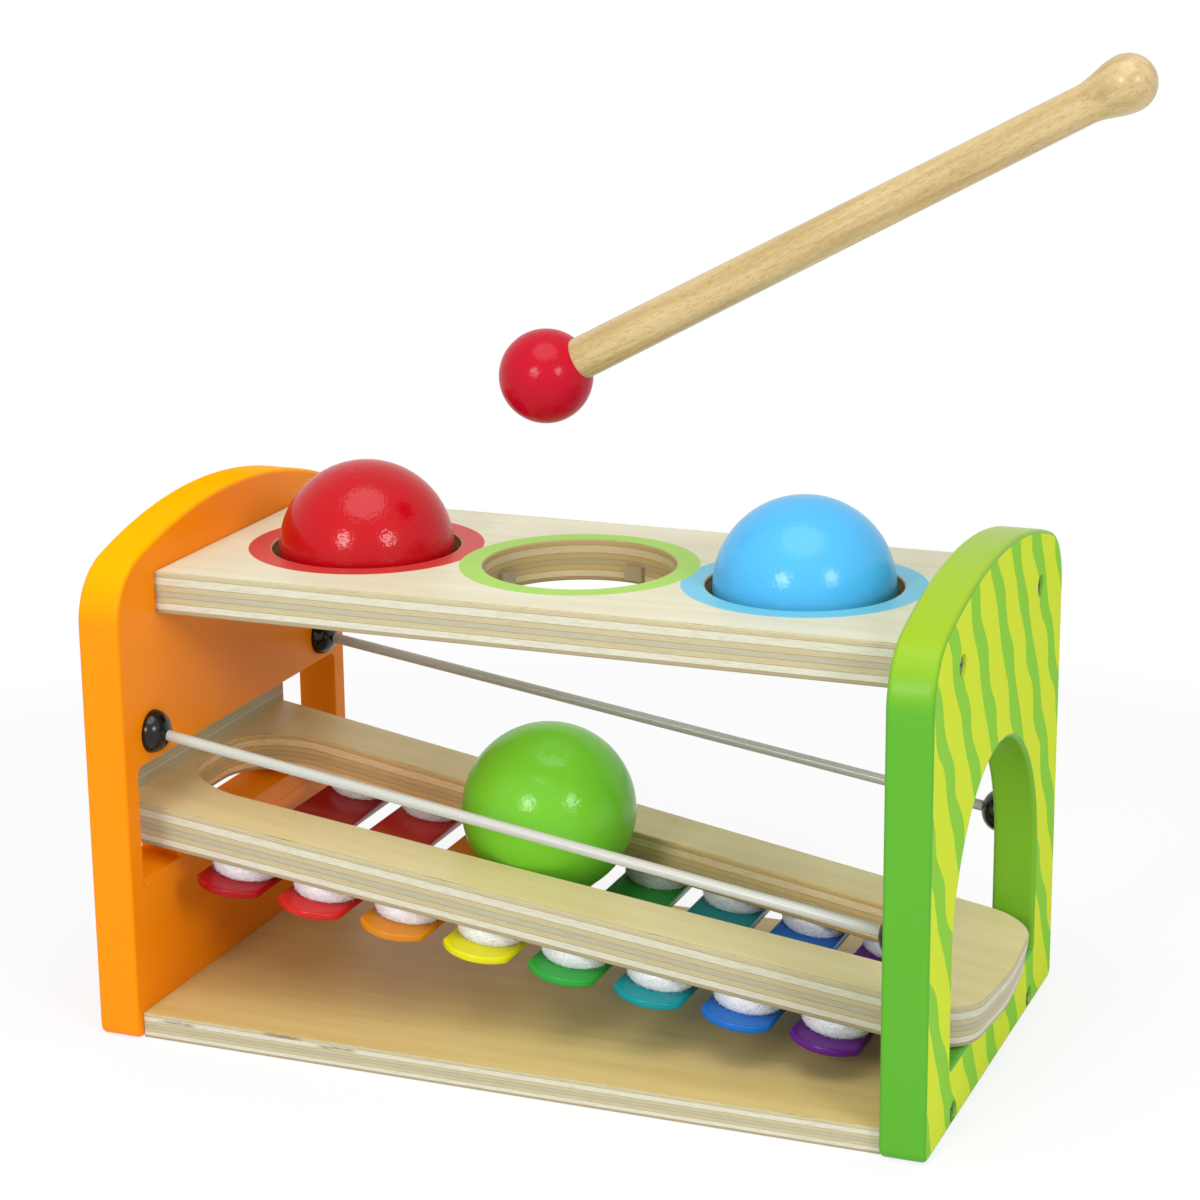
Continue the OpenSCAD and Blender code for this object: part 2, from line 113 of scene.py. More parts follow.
def tray_axes(points):
    """The inverse of on_tray, as an array of u, v and w."""
    return (points - TRAY_ORIGIN) @ np.stack([TRAY_U, TRAY_V, TRAY_W], axis=1)


print(f"tray {TRAY_T:.1f} mm thick, sloping by {math.degrees(math.acos(COS_SLOPE)):.1f} degrees")

# %% [markdown]
# ## Outlines
#
# Panels, boards and keys are sawn from sheet, and their corners are sanded round, each to its own
# radius. A cube with a Bevel modifier gives one radius to all. Here an outline is a list of points in a
# plane, counter-clockwise, and `rounded` turns each corner of a polygon into an arc of its own.

# %% Outlines
CORNER_STEPS = 14


def arc(centre, radius, start, stop, steps):
    """Points of an arc: centre + radius (cos a, sin a), with the angle a in radians."""
    angle = np.linspace(start, stop, steps + 1)
    return np.array(centre) + radius * np.stack([np.cos(angle), np.sin(angle)], axis=1)


def rounded(corners, radii):
    """A polygon with an arc at each corner, centred on the bisector at radius / sin(half the corner)."""
    corners = np.array(corners, float)
    pieces = []
    for before, here, after, radius in zip(np.roll(corners, 1, 0), corners, np.roll(corners, -1, 0), radii):
        back = (before - here) / np.linalg.norm(before - here)
        ahead = (after - here) / np.linalg.norm(after - here)
        half = math.acos(np.clip(back @ ahead, -1, 1)) / 2
        inward = (back + ahead) / np.linalg.norm(back + ahead)
        centre = here + inward * radius / math.sin(half)
        first = here + back * radius / math.tan(half) - centre
        start = math.atan2(first[1], first[0])
        turn = math.copysign(math.pi - 2 * half, ahead[0] * back[1] - ahead[1] * back[0])
        pieces.append(arc(centre, radius, start, start + turn, CORNER_STEPS))
    return np.concatenate(pieces)


def rectangle(low, high):
    """The four corners of a rectangle, counter-clockwise."""
    return [(low[0], low[1]), (high[0], low[1]), (high[0], high[1]), (low[0], high[1])]


print(f"a rounded corner has {CORNER_STEPS + 1} points")

# %% [markdown]
# ### Outlines that match
#
# A panel with an opening could be cut with a Boolean, which leaves long thin faces that shade badly. A
# ring of faces between two outlines is smoother. `matched` takes the outer and the inner outline to the
# same angles about a centre, so that both have equally many points.

# %% Matched outlines
STAR_SAMPLES, ANGLE_DIGITS = 6000, 4


def star(outline, centre, angles):
    """Where rays from the centre at the given angles cross a star-shaped outline."""
    closed = np.vstack([outline, outline[:1]])
    travel = np.concatenate([[0], np.cumsum(np.linalg.norm(np.diff(closed, axis=0), axis=1))])
    at = np.linspace(0, travel[-1], STAR_SAMPLES, endpoint=False)
    dense = np.stack([np.interp(at, travel, closed[:, k]) for k in (0, 1)], axis=1) - centre
    radius = np.interp(angles, np.arctan2(dense[:, 1], dense[:, 0]), np.hypot(*dense.T), period=2 * math.pi)
    return np.array(centre) + radius[:, None] * np.stack([np.cos(angles), np.sin(angles)], axis=1)


def matched(outer, inner, centre):
    """Both outlines at the angles of all their points about the centre."""
    both = np.concatenate([outer, inner]) - centre
    angles = np.unique(np.round(np.arctan2(both[:, 1], both[:, 0]), ANGLE_DIGITS))
    return star(outer, centre, angles), star(inner, centre, angles)


def outward(outline):
    """Unit normals out of a counter-clockwise outline: the mean of two steps, turned by a quarter."""
    step = np.roll(outline, -1, 0) - outline
    step /= np.linalg.norm(step, axis=1)[:, None]
    along = step + np.roll(step, 1, 0)
    along /= np.linalg.norm(along, axis=1)[:, None]
    return np.stack([along[:, 1], -along[:, 0]], axis=1)


print(f"outlines are matched over {STAR_SAMPLES} samples")

# %% [markdown]
# ## Eased edges
#
# No edge of the real bench is sharp: sanding eases them, and they catch a thin line of light. A Bevel
# modifier could do that, but the materials need to know which points lie on a flat face. So an edge is
# a profile that is the same all the way round: flat face, quarter circle, straight wall, quarter
# circle, flat face. `rim` lists it as insets and heights, and each entry becomes one ring of points.

# %% Eased edges
# A narrow band keeps a flat face flat up to its easing
FLAT_BAND, EASE_STEPS = 0.15, 6


def rim(low, high, ease):
    """Insets ease (1 - sin t), heights ease (1 - cos t) in from each face, and marks of the flat rings."""
    turn = np.linspace(0, math.pi / 2, EASE_STEPS + 1)
    inset = np.concatenate([[ease + FLAT_BAND], ease * (1 - np.sin(turn)), [0.0]])
    down = np.concatenate([[0.0], ease * (1 - np.cos(turn)), [ease + FLAT_BAND]])
    flat = np.concatenate([[1.0, 1.0], np.zeros(EASE_STEPS + 1)])
    heights = np.concatenate([high - down, low + down[::-1]])
    return np.concatenate([inset, inset[::-1]]), heights, np.concatenate([flat, flat[::-1]])


def grid_faces(rows, columns, wrap_rows=False):
    """Quads between neighbouring rings of a grid of points, numbered row by row."""
    r = np.arange(rows if wrap_rows else rows - 1)[:, None]
    c = np.arange(columns)[None, :]
    r2, c2 = (r + 1) % rows, (c + 1) % columns
    quads = np.stack([r * columns + c, r * columns + c2, r2 * columns + c2, r2 * columns + c], axis=-1)
    return quads.reshape(-1, 4)


def fan_faces(ring, hub):
    """Triangles from every stretch of a ring of point numbers to one hub point."""
    return np.stack([ring, np.roll(ring, -1), np.full_like(ring, hub)], axis=1)


print(f"an eased edge has {2 * (EASE_STEPS + 3)} rings")

# %% [markdown]
# ## Surfaces
#
# Wood has a grain, and paint has places where it is worn or printed. A material can only show that where
# the piece says so, point by point. Blender meshes can hold such values as attributes. Until there is a
# mesh, a `Surface` keeps them together with the points and the faces, and two surfaces can be added.

# %% Surfaces
class Surface:
    """Points in millimetres, faces, and values that the materials read at the points."""

    def __init__(self, points, faces, **values):
        self.points = np.asarray(points, float).reshape(-1, 3)
        self.faces = list(faces)
        self.values = {key: np.asarray(value, float) for key, value in values.items()}

    def __add__(self, other):
        count = len(self.points)
        faces = self.faces + [np.asarray(face) + count for face in other.faces]
        values = {key: np.concatenate([value, other.values[key]]) for key, value in self.values.items()}
        return Surface(np.concatenate([self.points, other.points]), faces, **values)


def joined(surfaces):
    """A list of surfaces as one."""
    return sum(surfaces[1:], surfaces[0])


print("a surface keeps its points in millimetres")

# %% [markdown]
# ## Plates
#
# Most pieces are plates: a board, a key, a panel with an opening. An extruded curve would be quick, but
# it carries no values at its points. So a plate is worked out ring by ring along its rim. A `place`
# function says which way the plate lies. `flat` marks its faces, and `inside` the walls of its hole.

# %% Plates
def lying(x, y, z):
    """Places a plate whose outline is in x and y."""
    return np.stack([x, y, z], axis=-1)


def plate(outline, low, high, ease, place):
    """A solid plate: rings P = outline - inset * normal at each height of the rim, and two fans."""
    inset, height, flat = rim(low, high, ease)
    rings = outline[None] - inset[:, None, None] * outward(outline)[None]
    rows, columns = len(inset), len(outline)
    heights = np.repeat(height[:, None], columns, axis=1)
    body = place(rings[..., 0], rings[..., 1], heights).reshape(-1, 3)
    middle = outline.mean(0)
    hubs = place(np.full(2, middle[0]), np.full(2, middle[1]), np.array([high, low]))
    first = np.arange(columns)
    top_fan = fan_faces(first, rows * columns)
    bottom_fan = fan_faces(first + (rows - 1) * columns, rows * columns + 1)
    faces = [*grid_faces(rows, columns), *top_fan, *bottom_fan]
    return Surface(np.concatenate([body, hubs]), faces, flat=np.append(np.repeat(flat, columns), [1, 1]))


def plate_with_hole(outer, inner, centre, low, high, eases, place):
    """A plate with one hole is a ring: the outer rim down, the inner rim up, and closed on itself."""
    outer, inner = matched(outer, inner, centre)
    inset, height, flat = rim(low, high, eases[0])
    inset_in, height_in, _ = rim(low, high, eases[1])
    outside = outer[None] - inset[:, None, None] * outward(outer)[None]
    wall = inner[None] + inset_in[::-1, None, None] * outward(inner)[None]
    rings = np.concatenate([outside, wall])
    heights = np.repeat(np.concatenate([height, height_in[::-1]])[:, None], len(outer), axis=1)
    points = place(rings[..., 0], rings[..., 1], heights)
    faces = grid_faces(len(rings), len(outer), wrap_rows=True)
    inside = np.repeat(np.arange(len(rings)) >= len(inset), len(outer))
    flat = np.repeat(np.concatenate([flat, flat[::-1]]), len(outer))
    return Surface(points, faces, flat=flat, inside=inside)


print("plates carry the values flat and inside at their points")

# %% [markdown]
# ## Turned pieces
#
# Balls, rods, bushes and the mallet come off a lathe. The Screw modifier turns a profile too, but its
# double points at the poles have to be merged. `revolved` carries the profile round its axis as one
# array, with a single point at either tip.

# %% Turned pieces
QUARTER_STEPS, HALF_STEPS = 16, 96
QUARTER_TURN = np.linspace(0, math.pi / 2, QUARTER_STEPS + 1)
HALF_TURN = np.linspace(0, math.pi, HALF_STEPS + 1)
# Below this share of y in an axis, y can start the side direction
STEEP = 0.9


def revolved(profile, origin, axis, turns):
    """P = origin + radius (cos a S + sin a T) + along A, for profile rows of radius and along, tip to tip."""
    axis = np.asarray(axis, float) / np.linalg.norm(axis)
    side = np.cross(axis, [0.0, 1.0, 0.0] if abs(axis[1]) < STEEP else [1.0, 0.0, 0.0])
    side /= np.linalg.norm(side)
    angle = np.linspace(0, 2 * math.pi, turns, endpoint=False)
    spoke = np.cos(angle)[:, None] * side + np.sin(angle)[:, None] * np.cross(axis, side)
    radius, along = np.asarray(profile, float).T
    body = np.asarray(origin) + radius[1:-1, None, None] * spoke[None] + (along[1:-1, None] * axis)[:, None]
    tips = np.asarray(origin) + along[[0, -1], None] * axis
    rows, ring = len(radius) - 2, np.arange(turns)
    first_fan = fan_faces(ring, rows * turns)
    last_fan = fan_faces(ring + (rows - 1) * turns, rows * turns + 1)
    faces = [*grid_faces(rows, turns), *first_fan, *last_fan]
    return Surface(np.concatenate([body.reshape(-1, 3), tips]), faces)


def ball_profile(radius):
    """A half circle, from the lower tip to the upper one."""
    return np.stack([radius * np.sin(HALF_TURN), -radius * np.cos(HALF_TURN)], axis=1)


print(f"a ball has {HALF_STEPS - 1} rings between its tips")

# %% [markdown] ## From points to pieces  A surface becomes a mesh, and the mesh an object at the
# origin. Faces could be listed the right way round in every formula, but it is safer to make the
# normals agree once, here.

# %% From points to pieces
def mesh_of(name, surface):
    """A mesh with the points of a surface, in metres."""
    mesh = bpy.data.meshes.new(name)
    faces = [list(map(int, face)) for face in surface.faces]
    mesh.from_pydata((surface.points * MM).tolist(), [], faces)
    return mesh


def write_value(mesh, key, value):
    """Stores one number or one vector for each point of a mesh."""
    value = np.asarray(value, np.float32)
    kind, field = ("FLOAT", "value") if value.ndim == 1 else ("FLOAT_VECTOR", "vector")
    mesh.attributes.new(key, kind, "POINT").data.foreach_set(field, value.ravel())


def show(name, surface, material, body, replaces=()):
    """Makes a smooth-shaded object of a surface and sets it on its body of the frame."""
    mesh = mesh_of(name, surface)
    for key, value in surface.values.items():
        write_value(mesh, key, value)
    shape = bmesh.new()
    shape.from_mesh(mesh)
    bmesh.ops.recalc_face_normals(shape, faces=shape.faces)
    shape.to_mesh(mesh)
    shape.free()
    mesh.shade_smooth()
    mesh.materials.append(material)
    piece = bpy.data.objects.new(name, mesh)
    bpy.context.scene.collection.objects.link(piece)
    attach(piece, body)
    if replaces:
        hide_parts(*replaces)
    print(f"{name}: {len(mesh.vertices)} points, {len(mesh.polygons)} faces, on {body}")
    return piece


print(f"pieces are made in millimetres and stored at {MM} of that, in metres")

# %% [markdown]
# ## Materials
#
# Wood, paint and felt vary from point to point. Pictures of them could be wrapped round the pieces, but
# pictures blur close up and need files of their own. So each finish is a Principled shader fed by a few
# procedural nodes. Built by hand in the node editor they would be hard to follow in a script, so a
# small class gives each kind of node one short name.

# %% Node helpers
class Nodes:
    """Short ways to add nodes to a node tree."""

    def __init__(self, tree):
        self.tree = tree

    def put(self, socket, value):
        """Links a socket, or sets a plain value."""
        if isinstance(value, bpy.types.NodeSocket):
            self.tree.links.new(value, socket)
        else:
            socket.default_value = value

    def node(self, kind, inputs=(), **settings):
        """A new node with its settings and inputs."""
        made = self.tree.nodes.new(kind)
        for key, value in settings.items():
            setattr(made, key, value)
        for key, value in dict(inputs).items():
            self.put(made.inputs[key], value)
        return made

    def math(self, operation, a, b=0.0):
        return self.node("ShaderNodeMath", {0: a, 1: b}, operation=operation).outputs[0]

    def product(self, a, b):
        return self.math("MULTIPLY", a, b)

    def total(self, a, b):
        return self.math("ADD", a, b)

    def rest(self, share):
        return self.math("SUBTRACT", 1.0, share)

    def place(self):
        """Where a point is on its object, in metres."""
        return self.node("ShaderNodeTexCoord").outputs["Object"]

    def split(self, vector):
        return self.node("ShaderNodeSeparateXYZ", {0: vector}).outputs

    def stretch(self, vector, factors):
        return self.node("ShaderNodeVectorMath", {0: vector, 1: factors}, operation="MULTIPLY").outputs[0]

    def length(self, vector):
        return self.node("ShaderNodeVectorMath", {0: vector}, operation="LENGTH").outputs["Value"]

    def between(self, share, low, high, interpolation="SMOOTHSTEP"):
        """0 below low, 1 above high and a rise between."""
        inputs = {"Value": share, "From Min": low, "From Max": high}
        return self.node("ShaderNodeMapRange", inputs, interpolation_type=interpolation).outputs[0]


print("node helpers for", ", ".join(name for name in vars(Nodes) if not name.startswith("_")))

# %% [markdown]
# ### Colours
#
# A paint is matched by how it looks on a screen, with 0 to 255 for red, green and blue. Shaders count
# light instead, which grows faster than the eye sees it. The colour picker converts between the two
# by itself. A script sets the light directly, so it needs the curve of the sRGB standard.

# %% Colours
def linear(red, green, blue):
    """An sRGB colour of 0 to 255 as linear light with alpha, by the sRGB curve."""
    shares = np.array([red, green, blue]) / 255
    light = np.where(shares <= 0.04045, shares / 12.92, ((shares + 0.055) / 1.055) ** 2.4)
    return (*light, 1.0)


print("a middle grey of 128 is light of", round(float(linear(128, 128, 128)[0]), 3))

# %% [markdown]
# ### A shader for one finish
#
# A finish on the real bench is a colour with some figure in it and a sheen over it. `Shader` starts a
# material with a Principled shader and adds what finishes need: noise that is stretched into a figure,
# stains that mix one colour into another, and bumps. Wood reads a `grain` value at every point:
# millimetres along the grain, across it and through the plies.

# %% Shader
class Shader(Nodes):
    """One material: a Principled shader, and short ways to add figure before it."""

    def __init__(self, name, **inputs):
        self.material = bpy.data.materials.new(name)
        self.material.use_nodes = True
        super().__init__(self.material.node_tree)
        self.bsdf = self.tree.nodes["Principled BSDF"]
        self.set(**inputs)

    def set(self, **inputs):
        """Sets inputs of the Principled shader, with _ for a space in their names."""
        for key, value in inputs.items():
            self.put(self.bsdf.inputs[key.replace("_", " ")], value)

    def value_at_points(self, name, output="Vector"):
        return self.node("ShaderNodeAttribute", attribute_name=name).outputs[output]

    def noise(self, vector, scale, detail=2.0, roughness=0.5):
        inputs = {"Vector": vector, "Scale": scale, "Detail": detail, "Roughness": roughness}
        return self.node("ShaderNodeTexNoise", inputs).outputs[0]

    def figure(self, vector, rates, detail, roughness):
        """Noise with its own rate along each direction."""
        return self.noise(self.stretch(vector, rates), 1.0, detail, roughness)

    def mix(self, share, a, b, blend="MIX"):
        made = self.node("ShaderNodeMix", {0: share, 6: a, 7: b}, data_type="RGBA", blend_type=blend)
        return made.outputs[2]

    def stain(self, colour, other, figure, low, high, strength):
        """Mixes another colour in where a figure rises from low to high."""
        return self.mix(self.product(self.between(figure, low, high), strength), colour, other)

    def ramp(self, share, stops):
        """A colour ramp with stops of place and colour."""
        made = self.node("ShaderNodeValToRGB", {0: share})
        elements = made.color_ramp.elements
        elements.remove(elements[1])
        elements[0].position, elements[0].color = stops[0]
        for position, colour in stops[1:]:
            elements.new(position).color = colour
        return made.outputs[0]

    def bump(self, height, depth, strength):
        """Tilts the normals by a height, where the full height is a depth in metres."""
        inputs = {"Height": height, "Distance": depth, "Strength": strength}
        normal = self.node("ShaderNodeBump", inputs).outputs[0]
        self.set(Normal=normal)
        return normal


print("each finish is one Principled shader")

# %% [markdown]
# ### Plywood: plies
#
# Birch plywood is thin sheets glued crosswise, so its edges show plies that alternate from pale to
# brown, with thin glue lines between them. They could be separate thin plates, but nothing ever parts
# them. A colour ramp over the thickness gives the same bands, and follows every curved edge.

# %% Plies
PLY_WHITE, PLY_GREY = linear(204, 203, 184), linear(174, 171, 148)
PLY_GOLD, PLY_BROWN = linear(186, 177, 140), linear(162, 150, 118)
GLUE, GAP_BROWN = linear(156, 134, 96), linear(108, 80, 52)
# Share of the thickness, from the bottom, at which each ply ends, and its colour
PLIES = [
    (0.11, PLY_BROWN), (0.27, PLY_WHITE), (0.41, PLY_GOLD), (0.55, PLY_GREY), (0.69, PLY_GOLD),
    (0.885, PLY_WHITE), (1.0, PLY_GOLD),
]
GLUE_REACH = 0.014


def ply_stops():
    """Ramp stops of the plies, with a narrow glue line at every joint."""
    stops, below = [], 0.0
    for above, colour in PLIES:
        stops += [(below + GLUE_REACH if below else 0.0, colour)]
        stops += [(above - GLUE_REACH, colour), (above, GLUE)] if above < 1 else [(1.0, colour)]
        below = above
    return stops


print(f"{len(PLIES)} plies in {len(ply_stops())} stops")

# %% [markdown]
# ### Plywood: edges
#
# Sawn plies are never clean. They waver, the saw leaves a speckle, and now and then a ply has a dark
# gap. On slot walls the plies are multiplied by a warm tint of painted light, on hole walls by a tint of
# painted shade. For the gaps the edge is divided into cells, and a throw of the dice darkens one cell in
# many.

# %% Plywood edges
# Each figure: waves per millimetre along, across and through the wood, its detail and its roughness
WAVER, WAVER_SHARE = ((0.04, 0.04, 0.3), 2.0, 0.5), 0.02
SPECKLE = ((0.3, 0.3, 3.6), 4.0, 0.7)
# Each stain: where its figure starts and ends to show, and its strength
SPECKLE_STAIN = (0.42, 0.75, 0.42)
GAP_L, GAP_SKEW, GAP_RARITY, GAP_STRENGTH = 16.0, 0.61, 0.985, 0.6
GAP_RAGGED, GAP_ENDS = (0.3, 0.55), (0.08, 0.3)
# Painted light and shade: a brighter warm tint for slot walls, a darker one for hole walls, per channel
SLOT_WALL_PAINTED_LIGHT, HOLE_WALL_PAINTED_SHADE = (1.45, 1.15, 0.8, 1.0), (0.85, 0.7, 0.48, 1.0)


def ply_edge(shader, grain, speckle, thickness, wall):
    """Colour of the plies at a level of through / thickness, with speckle and gaps."""
    along, across, through = shader.split(grain)[:3]
    waver = shader.product(shader.figure(grain, *WAVER), WAVER_SHARE)
    level = shader.total(shader.math("DIVIDE", through, thickness), waver)
    plies = shader.ramp(level, ply_stops())
    # Painted light and shade: walls, where `inside` is one, are multiplied by the wall tint
    plies = shader.mix(shader.value_at_points("inside", "Fac"), plies, wall, "MULTIPLY")
    plies = shader.stain(plies, GLUE, speckle, *SPECKLE_STAIN)
    run = shader.math("DIVIDE", shader.total(along, shader.product(across, GAP_SKEW)), GAP_L)
    row = shader.math("FLOOR", shader.product(level, float(len(PLIES))))
    cell = shader.node("ShaderNodeCombineXYZ", {0: shader.math("FLOOR", run), 1: row}).outputs[0]
    chance = shader.node("ShaderNodeTexWhiteNoise", {"Vector": cell}).outputs["Value"]
    ends = shader.between(shader.math("PINGPONG", run, 0.5), *GAP_ENDS)
    ragged = shader.product(shader.between(speckle, *GAP_RAGGED), ends)
    gap = shader.product(shader.math("GREATER_THAN", chance, GAP_RARITY), ragged)
    return shader.mix(shader.product(gap, GAP_STRENGTH), plies, GAP_BROWN)


print(f"one ply cell in {1 / (1 - GAP_RARITY):.0f} has a gap")

# %% [markdown]
# ### Plywood: face and painted rings
#
# The face veneer is pale, with long faint streaks and fine fibres. Round each hole of the top board a
# ring is painted in a ball's colour. A ring could be a thin disc laid on top, but paint has no
# thickness to see, and a disc would flicker against the face. So the shader colours the points whose
# distance from a hole's middle is below the ring's radius.

# %% Plywood face and plywood
FACE_LIGHT, FACE_DARK = linear(222, 219, 192), linear(208, 197, 160)
STREAKS, STREAK_STAIN = ((0.012, 0.16, 0.16), 4.0, 0.62), (0.3, 0.75, 0.5)
MOTTLE, MOTTLE_STAIN = ((0.03, 0.05, 0.05), 2.0, 0.5), (0.45, 0.8, 0.22)
WOOD_FIBRES, FIBRE_SHARE = ((0.22, 2.8, 2.8), 3.0, 0.65), 0.16
RING_DEPTHS, RING_BLUR, RING_WEAR = (0.3, 0.2), 0.12, 0.07
PLY_TOOTH, PLY_BUMP = 0.4, (0.00012, 0.35)


def veneer(shader, grain, fibres, light, dark):
    """Face veneer: light wood with long streaks, fine fibres and broad soft mottles."""
    face = shader.stain(light, dark, shader.figure(grain, *STREAKS), *STREAK_STAIN)
    face = shader.mix(shader.product(fibres, FIBRE_SHARE), face, GLUE)
    return shader.stain(face, dark, shader.figure(grain, *MOTTLE), *MOTTLE_STAIN)


def painted_rings(shader, face, grain, fibres, thickness, rings):
    """Paint on the top face, inside each ring's radius, worn thin along the fibres."""
    through = shader.split(grain)[2]
    on_top = shader.between(through, thickness - RING_DEPTHS[0], thickness - RING_DEPTHS[1])
    for (x, y), radius, colour in rings:
        offset = shader.node("ShaderNodeVectorMath", {0: grain, 1: (-x, -y, 0)}, operation="ADD").outputs[0]
        distance = shader.length(shader.stretch(offset, (1, 1, 0)))
        within = shader.rest(shader.between(distance, radius - RING_BLUR, radius + RING_BLUR))
        worn = shader.mix(shader.product(fibres, RING_WEAR), colour, FACE_LIGHT)
        face = shader.mix(shader.product(within, on_top), face, worn)
    return face


# wall is the tint of painted light and shade for the walls of holes and slots
def plywood(name, thickness, light, dark, wall=SLOT_WALL_PAINTED_LIGHT, rings=()):
    """Plywood: veneer where `flat` is one, the edges of the plies where it is zero."""
    shader = Shader(name, Roughness=0.42, Specular_IOR_Level=0.18, Coat_Weight=0.06, Coat_Roughness=0.25)
    grain = shader.value_at_points("grain")
    fibres = shader.figure(grain, *WOOD_FIBRES)
    speckle = shader.figure(grain, *SPECKLE)
    face = veneer(shader, grain, fibres, light, dark)
    face = painted_rings(shader, face, grain, fibres, thickness, rings)
    edge = ply_edge(shader, grain, speckle, thickness, wall)
    shader.set(Base_Color=shader.mix(shader.value_at_points("flat", "Fac"), edge, face))
    shader.bump(shader.total(fibres, shader.product(speckle, PLY_TOOTH)), *PLY_BUMP)
    print(f"{name}: {thickness:.1f} mm with {len(rings)} painted rings")
    return shader.material


print(f"paint shows {RING_DEPTHS[1]} mm down from the top face")

# %% [markdown]
# ### Satin paint
#
# The end panels wear satin paint over sanded board. One plain colour would look like plastic, so noise
# varies the colour and the roughness a little, as brush marks and soft clouds do. The curved tops get
# painted light, a paler colour for the light from above, and an `up` value at the points mixes it in.

# %% Satin paint
PAINT_COAT, PAINT_SHINE = 0.04, 0.08
BRUSH_MARKS, BRUSH_BUMP = ((900.0, 900.0, 60.0), 3.0, 0.5), (0.00006, 0.4)
PAINT_ROUGH, ROUGH_SWING = 0.26, 0.12
CLOUD_SCALE, CLOUD_DETAIL, CLOUD_SHADE, CLOUD_SHARE = 30.0, 3.0, 0.8, 0.14


def satin(shader, matt):
    """The sheen of satin paint, fading to none where matt is one."""
    shader.set(Coat_Weight=shader.product(shader.rest(matt), PAINT_COAT))
    shader.set(Specular_IOR_Level=shader.product(shader.rest(matt), PAINT_SHINE))


def paint(name, colour, crown):
    """Satin paint with faint brush marks and clouds, and painted light, the crown colour, where `up` is one.
    """
    shader = Shader(name, Coat_Roughness=0.2)
    marks = shader.figure(shader.place(), *BRUSH_MARKS)
    cloud = shader.noise(shader.place(), CLOUD_SCALE, CLOUD_DETAIL)
    shade = [CLOUD_SHADE * light for light in colour[:3]] + [1.0]
    clouded = shader.mix(shader.product(cloud, CLOUD_SHARE), colour, shade)
    # Painted light: the crown colour, mixed in by the `up` value
    up = shader.value_at_points("up", "Fac")
    shader.set(Base_Color=shader.mix(up, clouded, crown))
    satin(shader, up)
    shader.set(Roughness=shader.total(shader.product(marks, ROUGH_SWING), PAINT_ROUGH))
    shader.bump(marks, *BRUSH_BUMP)
    return shader


# The second colour is the crown's painted light: a paler, yellower orange for the light from above
ORANGE_PAINT = paint("orange_paint", linear(246, 138, 4), linear(248, 172, 4)).material
print(f"{ORANGE_PAINT.name}: {len(ORANGE_PAINT.node_tree.nodes)} nodes")

# %% [markdown]
# ### Striped print
#
# The right panel's outside carries a print: lime, with wavy slanting green stripes. It could be drawn as
# a picture and projected, which would fix its sharpness. A formula stays sharp at any distance: stripes
# are a wave of `y + slant * z`, and a few sines of different length bend them so that no two look alike.

# %% Striped print
LIME, STRIPE_GREEN = linear(204, 220, 66), linear(140, 200, 72)
STRIPE_PITCH, STRIPE_SHARE, STRIPE_SLANT, STRIPE_SHIFT = 21.5, 0.38, 0.56, 8.0
# Each sine that bends the stripes: its rate along z and along y in radians per millimetre, and its reach
STRIPE_BENDS = [(0.42, 0.10, 0.55), (0.23, -0.14, 0.8), (0.09, 0.07, 0.8)]
STRIPE_SWELL, SWELL_SWING, SWELL_LEAST = ((0.0, 90.0, 70.0), 1.0, 0.5), 0.7, 0.65
STRIPE_BLUR, PRINT_EDGE = 0.02, (0.4, 0.6)


def stripes(shader):
    """One on a stripe: |fract(run / pitch) - 1/2| below half the stripe's share, where run bends."""
    y, z = shader.split(shader.stretch(shader.place(), (1 / MM,) * 3))[1:3]
    run = shader.total(shader.total(y, STRIPE_SHIFT), shader.product(z, STRIPE_SLANT))
    for rate_z, rate_y, reach in STRIPE_BENDS:
        angle = shader.total(shader.product(z, rate_z), shader.product(y, rate_y))
        run = shader.total(run, shader.product(shader.math("SINE", angle), reach))
    phase = shader.math("FRACT", shader.math("DIVIDE", run, STRIPE_PITCH))
    off_middle = shader.math("ABSOLUTE", shader.math("SUBTRACT", phase, 0.5))
    swell = shader.product(shader.figure(shader.place(), *STRIPE_SWELL), SWELL_SWING)
    edge = shader.product(shader.total(swell, SWELL_LEAST), STRIPE_SHARE / 2)
    return shader.rest(shader.between(off_middle, edge, shader.total(edge, STRIPE_BLUR), "LINEAR"))


def striped_paint(name, colour, crown):
    """Satin paint with a matt striped print where `print` is one."""
    shader = paint(name, colour, crown)
    plain = shader.bsdf.inputs["Base Color"].links[0].from_socket
    printed = shader.between(shader.value_at_points("print", "Fac"), *PRINT_EDGE)
    shader.set(Base_Color=shader.mix(printed, plain, shader.mix(stripes(shader), LIME, STRIPE_GREEN)))
    satin(shader, printed)
    return shader.material


# The second colour is the crown's painted light: a paler, yellower green for the light from above
GREEN_PAINT = striped_paint("green_paint", linear(88, 164, 46), linear(152, 184, 36))
print(f"{GREEN_PAINT.name}: stripes every {STRIPE_PITCH} mm, bent by {len(STRIPE_BENDS)} sines")

# %% [markdown]
# ## The bench
#
# ### Left panel
#
# Both end panels are sawn from thick board to one outline: straight sides, round shoulders and a crown.
# The left one has a wide opening, through which the tray draws out. Each panel could be an extruded
# curve with a bevel. As a ring between its outline and its opening it has even faces all round, and
# the eased edges are part of the formula.

# %% Left panel
CROWN_R, SHOULDER_R, FOOT_R, CROWN_STEPS = 170.0, 18.0, 3.0, 60
OPENING_HALF, OPENING_R, OPENING_HEADROOM = 58.5, 2.5, 14.9
PANEL_EASE, OPENING_EASE = 1.3, 0.3
SILL_LEFT = box_mm("end_bar")[0][2]
OPENING_TOP = TRAY_ORIGIN[2] - INNER_X * TRAY_U[2] / COS_SLOPE + OPENING_HEADROOM
# Angles in an outline's plane, as on a compass
EAST, NORTH, WEST, SOUTH = 0.0, 0.5 * math.pi, math.pi, 1.5 * math.pi


